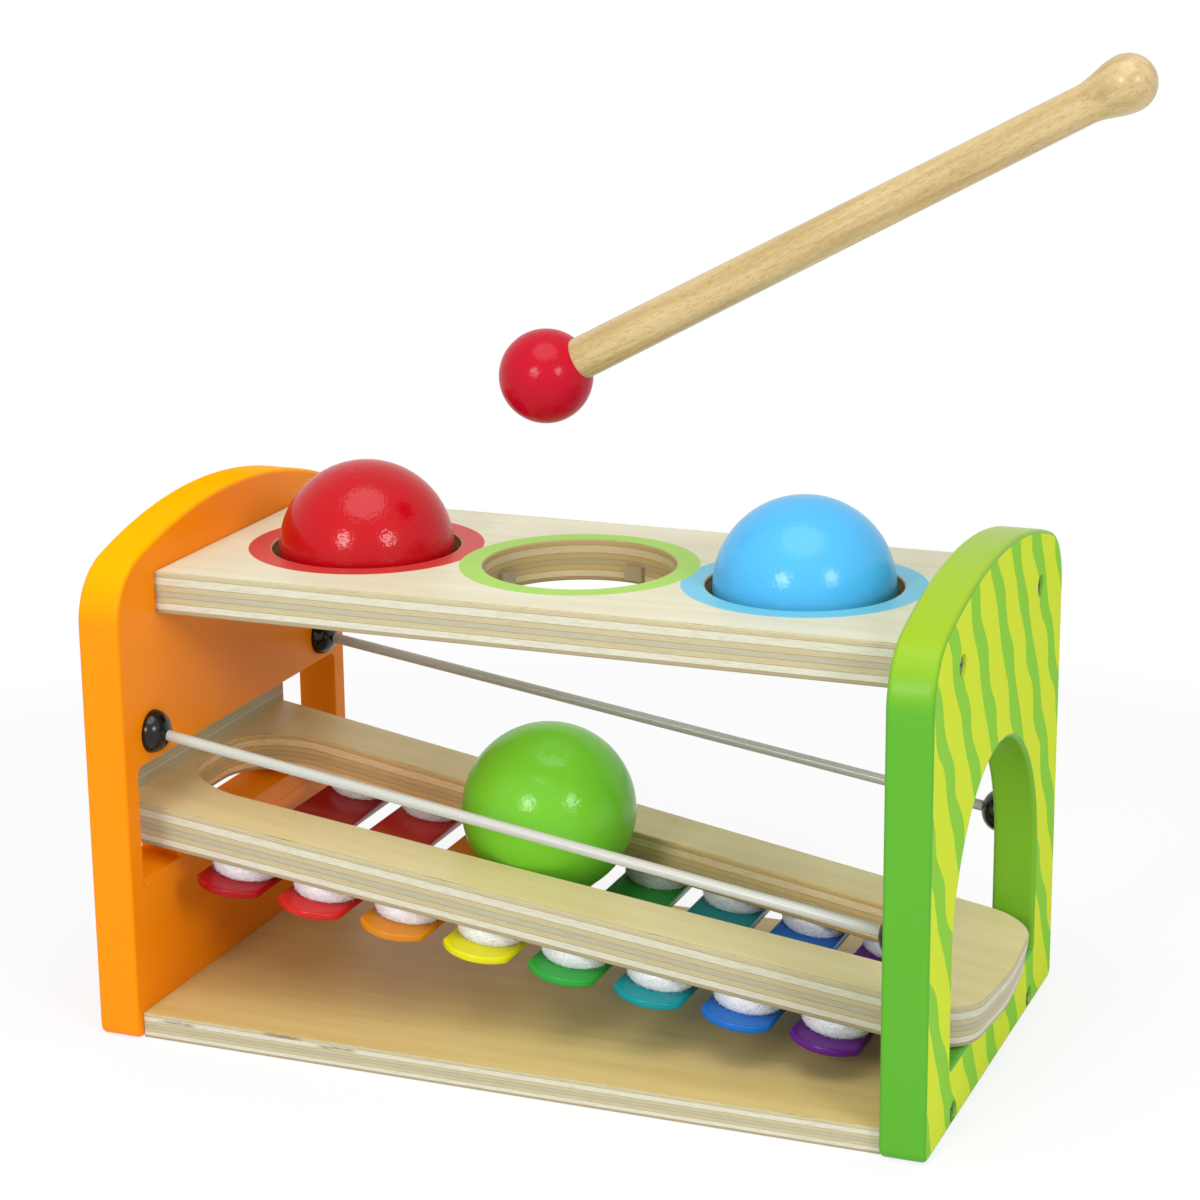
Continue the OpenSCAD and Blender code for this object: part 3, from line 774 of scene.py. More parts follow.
def panel_outline():
    """Outline of an end panel in y and z: arcs at feet, shoulders and crown, joined by straight sides."""
    crown_z = PANEL_H - CROWN_R
    shoulder_y = PANEL_HALF - SHOULDER_R
    shoulder_z = crown_z + math.sqrt((CROWN_R - SHOULDER_R) ** 2 - shoulder_y**2)
    lean = math.atan2(shoulder_z - crown_z, shoulder_y)
    return np.concatenate([
        arc((FOOT_R - PANEL_HALF, FOOT_R), FOOT_R, WEST, SOUTH, CORNER_STEPS),
        arc((PANEL_HALF - FOOT_R, FOOT_R), FOOT_R, SOUTH, 2 * math.pi, CORNER_STEPS),
        arc((shoulder_y, shoulder_z), SHOULDER_R, EAST, lean, CORNER_STEPS),
        arc((0, crown_z), CROWN_R, lean, math.pi - lean, CROWN_STEPS)[1:-1],
        arc((-shoulder_y, shoulder_z), SHOULDER_R, math.pi - lean, WEST, CORNER_STEPS),
    ])


def standing(y, z, x):
    """Places a plate whose outline is in y and z."""
    return np.stack([x, y, z], axis=-1)


PANEL = panel_outline()
opening = rounded(rectangle((-OPENING_HALF, SILL_LEFT), (OPENING_HALF, OPENING_TOP)), [OPENING_R] * 4)
opening_middle = (0.0, (SILL_LEFT + OPENING_TOP) / 2)
eases = (PANEL_EASE, OPENING_EASE)
left = plate_with_hole(PANEL, opening, opening_middle, -OUTER_X, -INNER_X, eases, standing)
left_piece = show("left_panel_painted", left, ORANGE_PAINT, "bench", ["left_panel"])

# %% [markdown]
# ### Right panel
#
# The right panel has a round-headed arch, through which a ball rolls out. The tray's nose reaches into
# it, just over the arch's foot. A cylinder and a box could cut the arch, but the same ring of faces as
# for the left panel takes any outline, so the arch is three arcs.

# %% Right panel
ARCH_HALF, ARCH_H, ARCH_FOOT_R, ARCH_GAP = 43.0, 71.9, 0.8, 0.1
SILL_RIGHT = TRAY_ORIGIN[2] + (OUTER_X * TRAY_U[2] - TRAY_T) / COS_SLOPE - ARCH_GAP
ARCH_SPRING = SILL_RIGHT + ARCH_H - ARCH_HALF
arch_foot_y, arch_foot_z = ARCH_HALF - ARCH_FOOT_R, SILL_RIGHT + ARCH_FOOT_R
arch = np.concatenate([
    arc((-arch_foot_y, arch_foot_z), ARCH_FOOT_R, WEST, SOUTH, CORNER_STEPS),
    arc((arch_foot_y, arch_foot_z), ARCH_FOOT_R, SOUTH, 2 * math.pi, CORNER_STEPS),
    arc((0, ARCH_SPRING), ARCH_HALF, EAST, WEST, CROWN_STEPS),
])
eases = (PANEL_EASE, PANEL_EASE)
right = plate_with_hole(PANEL, arch, (0.0, ARCH_SPRING), INNER_X, OUTER_X, eases, standing)
right_piece = show("right_panel_painted", right, GREEN_PAINT, "bench", ["right_panel"])

# %% [markdown]
# ### Screw recesses
#
# Each panel is held by four sunk cross-head screws. The rebuilt panels are plain rings, so the screws of
# the frame would be buried in them. Small holes could be woven into the grid, but a Boolean with short
# round plugs opens a recess over each screw in one cut, and on a flat face it shades well.

# %% Screw recesses
RECESS_R, RECESS_DEPTH, RECESS_TURNS, HEAD_CLEARANCE = 3.05, 3.0, 40, 0.05
SHARP_ANGLE = math.radians(40)


def drill(piece, places, radius, depth, way):
    """Cuts round recesses of a depth into a piece, at places on its face, against the direction way."""
    profile = [(0, -depth), (radius, -depth), (radius, depth), (0, depth)]
    plugs = [revolved(profile, place, way, RECESS_TURNS) for place in places]
    tool = bpy.data.objects.new("cutter", mesh_of("cutter", joined(plugs)))
    bpy.context.scene.collection.objects.link(tool)
    cut = piece.modifiers.new("recesses", "BOOLEAN")
    cut.object, cut.operation, cut.solver = tool, "DIFFERENCE", "EXACT"
    evaluated = piece.evaluated_get(bpy.context.evaluated_depsgraph_get())
    cut_mesh = bpy.data.meshes.new_from_object(evaluated)
    piece.modifiers.clear()
    piece.data = cut_mesh
    cut_mesh.set_sharp_from_angle(angle=SHARP_ANGLE)
    bpy.data.objects.remove(tool)
    print(f"{piece.name}: {len(places)} recesses of {2 * radius:.1f} mm")


for side, end, piece in ((-1.0, "left", left_piece), (1.0, "right", right_piece)):
    low, high = box_mm(end + "_panel_screws")
    head_r = RECESS_R - HEAD_CLEARANCE
    rows = (low[2] + head_r, high[2] - head_r)
    places = [(side * OUTER_X, y, z) for y in (low[1] + head_r, high[1] - head_r) for z in rows]
    drill(piece, places, RECESS_R, RECESS_DEPTH, (side, 0, 0))

# %% [markdown]
# ### Where the crown and the print are
#
# The paint needs to know which points take the crown's painted light and which carry the print.
# Separate materials on separate faces would meet in hard lines. Values at the points blend across the
# eased edge. The cut above made new points, so the values are worked out last, from places and normals.

# %% Crown and print
FACE_TOUCH, CROWN_BAND = 0.01, 3.0
# The arch's far wall takes a share of the crown's painted light where it faces the front
ARCH_PAINTED_LIGHT, ARCH_FACING = 0.35, -0.3


def crown_foot(y):
    """Height from which a point at y counts as crown: a band under the outline's upper half."""
    upper = PANEL[PANEL[:, 1] > PANEL_H / 2]
    order = np.argsort(upper[:, 0])
    return np.interp(y, upper[order, 0], upper[order, 1]) - CROWN_BAND


for piece in (left_piece, right_piece):
    mesh = piece.data
    at, facing = np.empty((2, len(mesh.vertices) * 3), np.float32)
    mesh.vertices.foreach_get("co", at)
    mesh.vertices.foreach_get("normal", facing)
    at, facing = at.reshape(-1, 3) / MM, facing.reshape(-1, 3)
    # Painted light on the crown: as much as a point faces up, stored as `up`
    crown = np.where(at[:, 2] > crown_foot(at[:, 1]), np.clip(facing[:, 2], 0, 1), 0)
    arch_wide = np.abs(at[:, 1]) < ARCH_HALF + PANEL_EASE
    in_arch = (at[:, 0] > 0) & arch_wide & (facing[:, 1] < ARCH_FACING)
    write_value(mesh, "up", np.maximum(crown, ARCH_PAINTED_LIGHT * in_arch))
    printed = at[:, 0] > OUTER_X - FACE_TOUCH
    write_value(mesh, "print", printed)
    print(f"{piece.name}: {int(printed.sum())} points on the printed face")

# %% [markdown]
# ### Top board
#
# The top board is plywood with three holes in a row, one for each ball. Cutting them with a Boolean
# would spoil the eased edges. So the board is three cells side by side. In each cell, rays from the
# hole's middle run out to the cell's border. Where that border is a real edge of the board it gets the
# eased rim, and where two cells meet, the faces simply run on.

# %% A cell with a hole
PLY_EASE, CELL_RAYS, RAY_DIGITS = 0.5, 96, 6
BORDER_TOUCH, LEAST_RAY = 1e-3, 1e-9


def cell_rays(middle, low, high):
    """Unit rays from a hole's middle, even and one into each corner, and where they meet the border."""
    corners = np.array(rectangle(low, high)) - middle
    even = np.linspace(-math.pi, math.pi, CELL_RAYS, endpoint=False)
    angles = np.concatenate([even, np.arctan2(corners[:, 1], corners[:, 0])])
    angles = np.unique(np.round(angles, RAY_DIGITS))
    ray = np.stack([np.cos(angles), np.sin(angles)], axis=1)
    room = np.where(ray > 0, high - middle, middle - low)
    reach = np.min(room / np.maximum(np.abs(ray), LEAST_RAY), axis=1)
    return ray, middle + reach[:, None] * ray


def edge_normals(border, low, high, ends):
    """Normals out of the board's real edges, and zero where two cells meet."""
    at_low = (np.abs(border - low) < BORDER_TOUCH) & np.array([ends[0], True])
    at_high = (np.abs(border - high) < BORDER_TOUCH) & np.array([ends[1], True])
    return at_high.astype(float) - at_low.astype(float)


def hole_cell(middle, low, high, hole_r, heights, ends):
    """One cell of the board: rings from the border's rim in to the hole's wall. ends marks real x edges."""
    ray, border = cell_rays(middle, low, high)
    normal = edge_normals(border, low, high, ends)
    inset, height, flat = rim(*heights, PLY_EASE)
    outside = border[None] - inset[:, None, None] * normal[None]
    wall = middle + (hole_r + inset[::-1, None, None]) * ray[None]
    rings = np.concatenate([outside, wall])
    rows, columns = rings.shape[:2]
    levels = np.repeat(np.concatenate([height, height[::-1]])[:, None], columns, axis=1)
    points = np.concatenate([rings, levels[..., None]], axis=-1)
    faces = grid_faces(rows, columns, wrap_rows=True)
    row, column = faces[:, 0] // columns, faces[:, 0] % columns
    shared = np.all(normal == 0, axis=1)
    loose = (row < len(inset) - 1) & (shared[column] | shared[(column + 1) % columns])
    inside = np.repeat(np.arange(rows) >= len(inset), columns)
    flat = np.repeat(np.concatenate([flat, flat[::-1]]), columns)
    return Surface(points, faces[~loose], flat=flat, inside=inside)


print(f"a cell has about {CELL_RAYS} rays")

# %% [markdown]
# The three cells are added up and become one board. Its grain runs along x, so the points themselves,
# counted from the board's underside, are the grain values.

# %% Top board
HOLE_R, RING_R, HOLE_PITCH = 25.9, 32.3, 63.0
TOP_LOW, TOP_HIGH = box_mm("top_board")
RINGS = [
    ((-HOLE_PITCH, 0.0), RING_R, linear(192, 28, 28)),
    ((HOLE_PITCH, 0.0), RING_R, linear(98, 186, 212)),
    ((0.0, 0.0), RING_R, linear(152, 200, 66)),
]
PLY_TOP = plywood("birch_ply_top", TOP_HIGH[2] - TOP_LOW[2], FACE_LIGHT, FACE_DARK, HOLE_WALL_PAINTED_SHADE, RINGS)
cells = []
for k in (-1, 0, 1):
    low = np.array([TOP_LOW[0] if k < 0 else (k - 0.5) * HOLE_PITCH, TOP_LOW[1]])
    high = np.array([TOP_HIGH[0] if k > 0 else (k + 0.5) * HOLE_PITCH, TOP_HIGH[1]])
    middle = np.array([k * HOLE_PITCH, 0.0])
    cells.append(hole_cell(middle, low, high, HOLE_R, (TOP_LOW[2], TOP_HIGH[2]), (k < 0, k > 0)))
top_board = joined(cells)
top_board.values["grain"] = top_board.points - [0, 0, TOP_LOW[2]]
show("top_board_ply", top_board, PLY_TOP, "bench", ["top_board"])

# %% [markdown]
# ### Base board
#
# The floor of the bench is thinner plywood, sawn square and varnished a warmer shade. A cube would do
# for its shape, but the shader wants the values of a plate, so it is one. Its grain is shifted, as if
# the board came from another part of the sheet.

# %% Base board
BASE_LIGHT, BASE_DARK = linear(214, 190, 124), linear(194, 163, 94)
BASE_EASE, BASE_SHIFT = 0.25, 400.0
BASE_LOW, BASE_HIGH = box_mm("base_board")
PLY_BASE = plywood("birch_ply_base", BASE_HIGH[2] - BASE_LOW[2], BASE_LIGHT, BASE_DARK)
base_outline = rounded(rectangle(BASE_LOW[:2], BASE_HIGH[:2]), [PLY_EASE] * 4)
base = plate(base_outline, BASE_LOW[2], BASE_HIGH[2], BASE_EASE, lying)
base.values["grain"] = base.points - [0, BASE_SHIFT, 0]
show("base_board_ply", base, PLY_BASE, "bench", ["base_board"])

# %% [markdown]
# ### Rods
#
# Two thin white rods run along the tray's slope and keep the balls over it. A cylinder primitive would
# have to be turned to the slope. A turned profile takes the slope as its axis, so nothing is rotated
# afterwards.

# %% Rods
ROD_R, ROD_STEPS, ROD_TURNS = 1.5, 12, 32


def plain_finish(name, colour, **inputs):
    """A finish of one even colour, without any figure."""
    return Shader(name, Base_Color=linear(*colour), **inputs).material


WHITE_ENAMEL = plain_finish("white_enamel", (180, 180, 170), Roughness=0.3, Coat_Weight=0.1)
for name in ("front_rod", "rear_rod"):
    local = tray_axes(points_mm(name))
    start, stop = local.min(0), local.max(0)
    length = stop[0] - start[0]
    middle = (start + stop) / 2
    side = [(ROD_R, along) for along in np.linspace(0, length, ROD_STEPS + 1)]
    rod = revolved([(0, 0), *side, (0, length)], on_tray(start[0], middle[1], middle[2]), TRAY_U, ROD_TURNS)
    show(name + "_white", rod, WHITE_ENAMEL, "bench", [name])

# %% [markdown]
# ### Bushes
#
# Where a rod enters a panel sits a shiny black rubber bush, like a half button. A squashed sphere would
# be close, but its rim is round on both sides. A quarter ellipse, turned about the panel's normal,
# gives the flat back, and a short stem behind it reaches into the panel.

# %% Bushes
BUSH_R, BUSH_H, BUSH_TURNS = 5.9, 5.0, 48
STEM_R, STEM_L, BUSH_BACK_R = 0.5 * BUSH_R, 2.0, 0.97 * BUSH_R
BLACK_RUBBER = plain_finish("black_rubber", (8, 8, 9), Roughness=0.2, Specular_IOR_Level=0.4)
dome = np.stack([BUSH_R * np.cos(QUARTER_TURN), BUSH_H * np.sin(QUARTER_TURN)], axis=1)
profile = np.vstack([[0, -STEM_L], [STEM_R, -STEM_L], [STEM_R, 0.0], [BUSH_BACK_R, 0.0], dome])
for side, inward in (("left", 1.0), ("right", -1.0)):
    low, high = box_mm(side + "_rod_bushes")
    seats = [(-inward * INNER_X, y, (low[2] + high[2]) / 2) for y in (low[1] + BUSH_R, high[1] - BUSH_R)]
    bushes = joined([revolved(profile, seat, (inward, 0, 0), BUSH_TURNS) for seat in seats])
    show(side + "_bushes_black", bushes, BLACK_RUBBER, "bench", [side + "_rod_bushes"])

# %% [markdown]
# ## The tray
#
# ### Tray frame
#
# The tray is plywood with a long slot, in which the ball runs. Both get narrower down the slope, so the
# ball rides higher towards the nose. A tapered cube has no round corners, so the frame is a ring between
# two tapered outlines, placed with the tray's own directions. The nose is a flat bow, and its middle is
# a corner with a very large radius.

# %% Tray frame
# The tray's veneer tones: the wood's own light and dark tones, made yellower by painted warm bounce light
TRAY_LIGHT_BOUNCE_LIT, TRAY_DARK_BOUNCE_LIT = linear(234, 220, 164), linear(218, 198, 140)
# Half widths at the left panel and at the right one
TRAY_HALVES, SLOT_HALVES = (47.25, 35.75), (26.6, 16.85)
TAIL_OUT, NOSE_OUT, TAIL_R, NOSE_R, NOSE_BULGE, NOSE_BULGE_R = 14.0, 2.8, 14.0, 15.0, 2.5, 105.0
SLOT_REACHES, SLOT_RADII = (8.6, -2.5), (20.0, 12.0)
TRAY_SHIFT = 200.0
EDGE_U = INNER_X / COS_SLOPE


def tapered(u, halves):
    """Half a width that changes evenly from the left panel to the right one."""
    return halves[0] + (halves[1] - halves[0]) * (u + EDGE_U) / (2 * EDGE_U)


tail_u, nose_u = -(OUTER_X + TAIL_OUT) / COS_SLOPE, (OUTER_X + NOSE_OUT) / COS_SLOPE
tail, nose = tapered(tail_u, TRAY_HALVES), tapered(nose_u, TRAY_HALVES)
tray_outline = rounded(
    [(tail_u, -tail), (nose_u, -nose), (nose_u + NOSE_BULGE, 0), (nose_u, nose), (tail_u, tail)],
    [TAIL_R, NOSE_R, NOSE_BULGE_R, NOSE_R, TAIL_R],
)
slot_left, slot_right = -(INNER_X + SLOT_REACHES[0]) / COS_SLOPE, (INNER_X + SLOT_REACHES[1]) / COS_SLOPE
wide, slim = tapered(slot_left, SLOT_HALVES), tapered(slot_right, SLOT_HALVES)
slot_outline = rounded(
    [(slot_left, -wide), (slot_right, -slim), (slot_right, slim), (slot_left, wide)],
    [SLOT_RADII[0], SLOT_RADII[1], SLOT_RADII[1], SLOT_RADII[0]],
)
tray = plate_with_hole(tray_outline, slot_outline, (0.0, 0.0), -TRAY_T, 0.0, (PLY_EASE, PLY_EASE), on_tray)
tray.values["grain"] = tray_axes(tray.points) + [0, TRAY_SHIFT, TRAY_T]
PLY_TRAY = plywood("birch_ply_tray", TRAY_T, TRAY_LIGHT_BOUNCE_LIT, TRAY_DARK_BOUNCE_LIT)
show("tray_ply", tray, PLY_TRAY, "tray", ["tray_frame"])

# %% [markdown]
# ### Keys
#
# A key is a flat metal strip with round ends under clear, tinted enamel. A scaled cube would have square
# ends, so each key is a plate between two arcs. Its length and width come from the frame's own key,
# which keeps the taper of the row. The enamel is a coat over a colour with very slight waves.

# %% Keys
KEY_END_R, KEY_STEPS, KEY_EASE = 11.0, 32, 0.7
ENAMEL_WAVES, ENAMEL_BUMP = 160.0, (0.0001, 0.25)
KEY_COLOURS = [
    ("key_dark_red", linear(150, 4, 14)), ("key_vermilion", linear(188, 30, 24)),
    ("key_amber", linear(198, 122, 20)), ("key_yellow", linear(210, 204, 14)),
    ("key_green", linear(40, 148, 54)), ("key_teal", linear(8, 132, 140)),
    ("key_blue", linear(22, 98, 182)), ("key_purple", linear(88, 24, 120)),
]


def enamel(name, colour):
    """Tinted clear enamel over bright metal."""
    shader = Shader(name, Base_Color=colour, Specular_IOR_Level=0.1, Roughness=0.3)
    shader.set(Coat_Weight=0.22, Coat_Roughness=0.05)
    shader.bump(shader.noise(shader.place(), ENAMEL_WAVES), *ENAMEL_BUMP)
    return shader.material


for i, (slot_name, colour) in enumerate(KEY_COLOURS):
    node = f"key_{i + 1}"
    local = tray_axes(points_mm(node))
    low, high = local.min(0), local.max(0)
    middle_u, lean = (low[0] + high[0]) / 2, math.asin((high[0] - low[0]) / 2 / KEY_END_R)
    front, rear = (middle_u, low[1] + KEY_END_R), (middle_u, high[1] - KEY_END_R)
    outline = np.concatenate([
        arc(front, KEY_END_R, -NORTH - lean, -NORTH + lean, KEY_STEPS),
        arc(rear, KEY_END_R, NORTH - lean, NORTH + lean, KEY_STEPS),
    ])
    key = plate(outline, low[2], high[2], KEY_EASE, on_tray)
    show(node + "_enamel", key, enamel(slot_name, colour), "tray", [node])

# %% [markdown]
# ### Felt pads
#
# Under the tray each key hangs on two thick pads of white felt, which let it ring. A cylinder would look
# hard. A pad is a quarter ellipse turned about its pin and pushed in and out by a few sines, each pad
# with sines of its own, so that no two are alike. The felt itself is rough, with small dents.

# %% Felt pads
FELT_R, FELT_FOOT_R, FELT_LUMP, FELT_TURNS = 9.7, 8.3, 0.22, 72
FELT_STEPS, FOOT_STEPS, FELT_SEED = 15, 7, 11
LUMP_RATES, LUMP_PHASES = np.array([0.9, 1.4, 2.1, 2.9]), np.array([0.3, 1.9, 4.0, 5.2])
LUMP_RISE, PAD_MARGIN = 4, 1.0
DENTS, DENT_RANGE, DENT_BUMP = (900.0, 4.0, 0.75), (0.3, 0.7), (0.0004, 0.8)


def felt():
    """White felt: rough, with a sheen of fine fibres and small dents."""
    shader = Shader("white_felt", Roughness=0.95, Sheen_Weight=0.6, Sheen_Roughness=0.5)
    dents = shader.between(shader.noise(shader.place(), *DENTS), *DENT_RANGE)
    shader.set(Base_Color=shader.mix(dents, linear(234, 236, 242), linear(255, 255, 255)))
    shader.bump(dents, *DENT_BUMP)
    return shader.material


def felt_pad(middle, thickness, seed):
    """A dome of felt: r = foot + (rim - foot) sin t, w = -T cos t, plus the mean of a few sines."""
    turn = np.linspace(0, math.pi / 2, FELT_STEPS)
    skin = np.stack([FELT_FOOT_R + (FELT_R - FELT_FOOT_R) * np.sin(turn), -thickness * np.cos(turn)], axis=1)
    foot = np.stack([np.linspace(0, FELT_FOOT_R, FOOT_STEPS), np.full(FOOT_STEPS, -thickness)], axis=1)
    profile = np.vstack([foot[:-1], skin, [[FELT_R / 2, 0.0], [0.0, 0.0]]])
    pad = revolved(profile, (0, 0, 0), (0, 0, 1), FELT_TURNS)
    p = pad.points
    ways = np.random.default_rng(seed).normal(size=(len(LUMP_RATES), 3)) * LUMP_RATES[:, None]
    lump = np.sin(p @ ways.T + LUMP_PHASES).mean(axis=1)
    up = np.clip(1 + p[:, 2] / thickness, 0, 1)
    down = np.clip(-p[:, 2] / thickness * LUMP_RISE, 0, 1)
    p[:, :2] *= (1 + FELT_LUMP * lump * up * down / FELT_R)[:, None]
    pad.points = on_tray(middle[0] + p[:, 0], middle[1] + p[:, 1], middle[2] + p[:, 2])
    return pad


FELT = felt()
print(f"felt pads {2 * FELT_R:.1f} mm wide at the tray and {2 * FELT_FOOT_R:.1f} mm at the key")

# %% [markdown]
# ### Fuzz on the felt
#
# Close up, felt has loose fibres that blur its outline. Blender's hair would do that, but the export
# keeps only meshes. So each fibre is a tiny bent blade of two faces, and all blades of a pad are worked
# out together as arrays from one set of random draws.

# %% Fuzz
FUZZ, FIBRE_L, FIBRE_R, FIBRE_POINTS = 420, 1.1, 0.045, 5
FUZZ_BAND, FIBRE_SHARES, FUZZ_INSET = (0.02, 0.98), (0.4, 1.0), 0.02
# How far the knee and the tip of a fibre stand out and lean aside, as shares of its length
KNEE_OUT, KNEE_ASIDE, TIP_OUT, TIP_ASIDE = 0.35, 0.35, 0.45, 0.9
rng = np.random.default_rng(7)


def unit(vectors):
    """Vectors of length one."""
    return vectors / np.linalg.norm(vectors, axis=1)[:, None]


def fuzz(middle, thickness, draws):
    """Fibres root - knee - tip on a pad's skin, where knee and tip are root + l (out * a + bend * b)."""
    turn = np.arcsin(draws.uniform(*FUZZ_BAND, FUZZ))
    angle = draws.uniform(0, 2 * math.pi, FUZZ)
    radius = FELT_FOOT_R + (FELT_R - FELT_FOOT_R) * np.sin(turn)
    root = np.stack([radius * np.cos(angle), radius * np.sin(angle), -thickness * np.cos(turn)], axis=1)
    out = np.stack([np.cos(angle) * np.sin(turn), np.sin(angle) * np.sin(turn), -np.cos(turn)], axis=1)
    bend = draws.normal(size=(FUZZ, 3))
    bend -= (bend * out).sum(1)[:, None] * out
    side = FIBRE_R * unit(np.cross(out, bend))
    bend = unit(bend)
    length = draws.uniform(*FIBRE_SHARES, FUZZ)[:, None] * FIBRE_L
    knee = root + length * (KNEE_OUT * out + KNEE_ASIDE * bend)
    tip = root + length * (TIP_OUT * out + TIP_ASIDE * bend)
    p = np.stack([root - side, root + side, knee - side, knee + side, tip], axis=1).reshape(-1, 3)
    p[:, 2] = np.clip(p[:, 2], -thickness + FUZZ_INSET, -FUZZ_INSET)
    start = np.arange(FUZZ)[:, None] * FIBRE_POINTS
    faces = [*(start + [0, 1, 3, 2]), *(start + [2, 3, 4])]
    return Surface(on_tray(middle[0] + p[:, 0], middle[1] + p[:, 1], middle[2] + p[:, 2]), faces)


print(f"{FUZZ} fibres to a pad, up to {FIBRE_L} mm long")

# %% [markdown] The pads of a row share one piece of the frame. Each sits under the middle of its key,
# so the keys say where the pads are.

# %% Rows of pads
for row in ("front", "rear"):
    node = row + "_felt_pads"
    local = tray_axes(points_mm(node))
    top, thickness = local[:, 2].max(), np.ptp(local[:, 2])
    pads, hairs = [], []
    for i in range(len(KEY_COLOURS)):
        key_u = tray_axes(points_mm(f"key_{i + 1}"))[:, 0]
        u = (key_u.min() + key_u.max()) / 2
        near = local[np.abs(local[:, 0] - u) < FELT_R + PAD_MARGIN]
        middle = (u, (near[:, 1].min() + near[:, 1].max()) / 2, top)
        pads.append(felt_pad(middle, thickness, i + FELT_SEED))
        hairs.append(fuzz(middle, thickness, rng))
    piece = show(row + "_felt", joined(pads), FELT, "tray", [node])
    show(row + "_felt_fuzz", joined(hairs), FELT, "tray", [])

# %% [markdown]
# ## Balls
#
# The balls are turned from hardwood and dipped in thick gloss lacquer, which dries with a slight orange
# peel that breaks up the highlights. A UV sphere would do for the shape. Here the lathe is at hand, and
# it gives finer rings. The peel is noise that tilts the normals of both the colour and the clear coat.

# %% Balls
BALL_TURNS, PEEL_SCALE, PEEL_BUMP = 160, 1000.0, (0.00018, 0.5)
BALLS = {"red_ball": (180, 4, 18), "green_ball": (112, 190, 44), "blue_ball": (74, 172, 226)}


def lacquer(name, colour, coat=0.4):
    """Thick gloss lacquer over turned wood: a slight orange peel under a clear coat."""
    shader = Shader(name, Base_Color=colour, Roughness=0.35, Specular_IOR_Level=0.05)
    shader.set(Coat_Weight=coat, Coat_Roughness=0.12)
    shader.set(Coat_Normal=shader.bump(shader.noise(shader.place(), PEEL_SCALE), *PEEL_BUMP))
    return shader.material


for name, colour in BALLS.items():
    low, high = box_mm(name)
    ball = revolved(ball_profile((high[2] - low[2]) / 2), (low + high) / 2, (0, 0, 1), BALL_TURNS)
    slot_name = "ball_" + name.split("_")[0]
    show(name + "_lacquered", ball, lacquer(slot_name, linear(*colour)), name, [name])

# %% [markdown]
# ## Mallet
#
# The mallet has a round red head and a beech handle, which is slimmer towards the grip and swells into a
# knob. Its hinge tells nothing about the handle's own axis, so the line from the head's middle to the
# handle's far end gives it. Both pieces are turned about that line.

# %% Mallet head
HEAD_R, HEAD_TURNS = 12.5, 120
head_low, head_high = box_mm("mallet_head")
HEAD_MIDDLE = (head_low + head_high) / 2
handle_points = points_mm("mallet_handle")
FAR_END = handle_points[np.argmax(np.linalg.norm(handle_points - HEAD_MIDDLE, axis=1))]
MALLET_L = np.linalg.norm(FAR_END - HEAD_MIDDLE)
HANDLE_AXIS = (FAR_END - HEAD_MIDDLE) / MALLET_L
MALLET_RED = lacquer("mallet_red", linear(180, 4, 32), coat=0.25)
head = revolved(ball_profile(HEAD_R), HEAD_MIDDLE, HANDLE_AXIS, HEAD_TURNS)
show("mallet_head_red", head, MALLET_RED, "mallet", ["mallet_head"])

# %% [markdown]
# ### Handle
#
# Beech shows long streaks and short dark flecks under a clear gloss. A plain wood colour would look like
# plastic, and rings would suit pine. So two figures are stretched along the handle, which needs a grain
# value in the handle's own directions. The knob's swell is half a cosine wave, and its end half a ball.

# %% Handle
HANDLE_SEAT, NECK_R, GRIP_R, KNOB_R, KNOB_L = 9.0, 5.6, 5.0, 7.2, 19.0
GRIP_STEPS, SWELL_STEPS, HANDLE_TURNS = 40, 25, 96
BEECH_STREAKS, BEECH_RANGE = ((0.02, 0.3, 0.3), 3.0, 0.6), (0.32, 0.7, 1.0)
BEECH_FLECKS, FLECK_STAIN, FLECK_BUMP = ((0.5, 2.6, 2.6), 3.0, 0.6), (0.45, 0.7, 0.5), (0.00008, 0.3)


def beech():
    """Beech: long streaks along the handle, short dark flecks and a clear gloss."""
    shader = Shader("beech", Roughness=0.4, Coat_Weight=0.35, Coat_Roughness=0.2)
    grain = shader.value_at_points("grain")
    flecks = shader.figure(grain, *BEECH_FLECKS)
    streaks = shader.figure(grain, *BEECH_STREAKS)
    colour = shader.stain(linear(200, 176, 124), linear(174, 146, 92), streaks, *BEECH_RANGE)
    shader.set(Base_Color=shader.stain(colour, linear(148, 114, 66), flecks, *FLECK_STAIN))
    shader.bump(flecks, *FLECK_BUMP)
    return shader.material


knob_start, knob_wide = MALLET_L - KNOB_L, MALLET_L - KNOB_R
swell = np.linspace(0, 1, SWELL_STEPS)
swell_r = GRIP_R + (KNOB_R - GRIP_R) / 2 * (1 - np.cos(math.pi * swell))
profile = np.vstack([
    [(0, HEAD_R - HANDLE_SEAT), (NECK_R, HEAD_R - HANDLE_SEAT)],
    np.stack([np.linspace(NECK_R, GRIP_R, GRIP_STEPS), np.linspace(HEAD_R, knob_start, GRIP_STEPS)], axis=1),
    np.stack([swell_r, knob_start + (knob_wide - knob_start) * swell], axis=1)[1:],
    np.stack([KNOB_R * np.cos(QUARTER_TURN), knob_wide + KNOB_R * np.sin(QUARTER_TURN)], axis=1)[1:],
])
handle = revolved(profile, HEAD_MIDDLE, HANDLE_AXIS, HANDLE_TURNS)
offset = handle.points - HEAD_MIDDLE
upright = np.cross(HANDLE_AXIS, [0, 1, 0])
handle.values["grain"] = np.stack([offset @ HANDLE_AXIS, offset[:, 1], offset @ upright], axis=1)
show("mallet_handle_beech", handle, beech(), "mallet", ["mallet_handle"])

# %% [markdown]
# ## Pieces that stay as they are
#
# Screws, pins, gripping pads, the batten and the bar are small or simple, and their solids already have
# the right shape. Rebuilding them would add nothing to see, so they only get a material. The batten
# carries no grain values, so its plies are stacked along z instead.

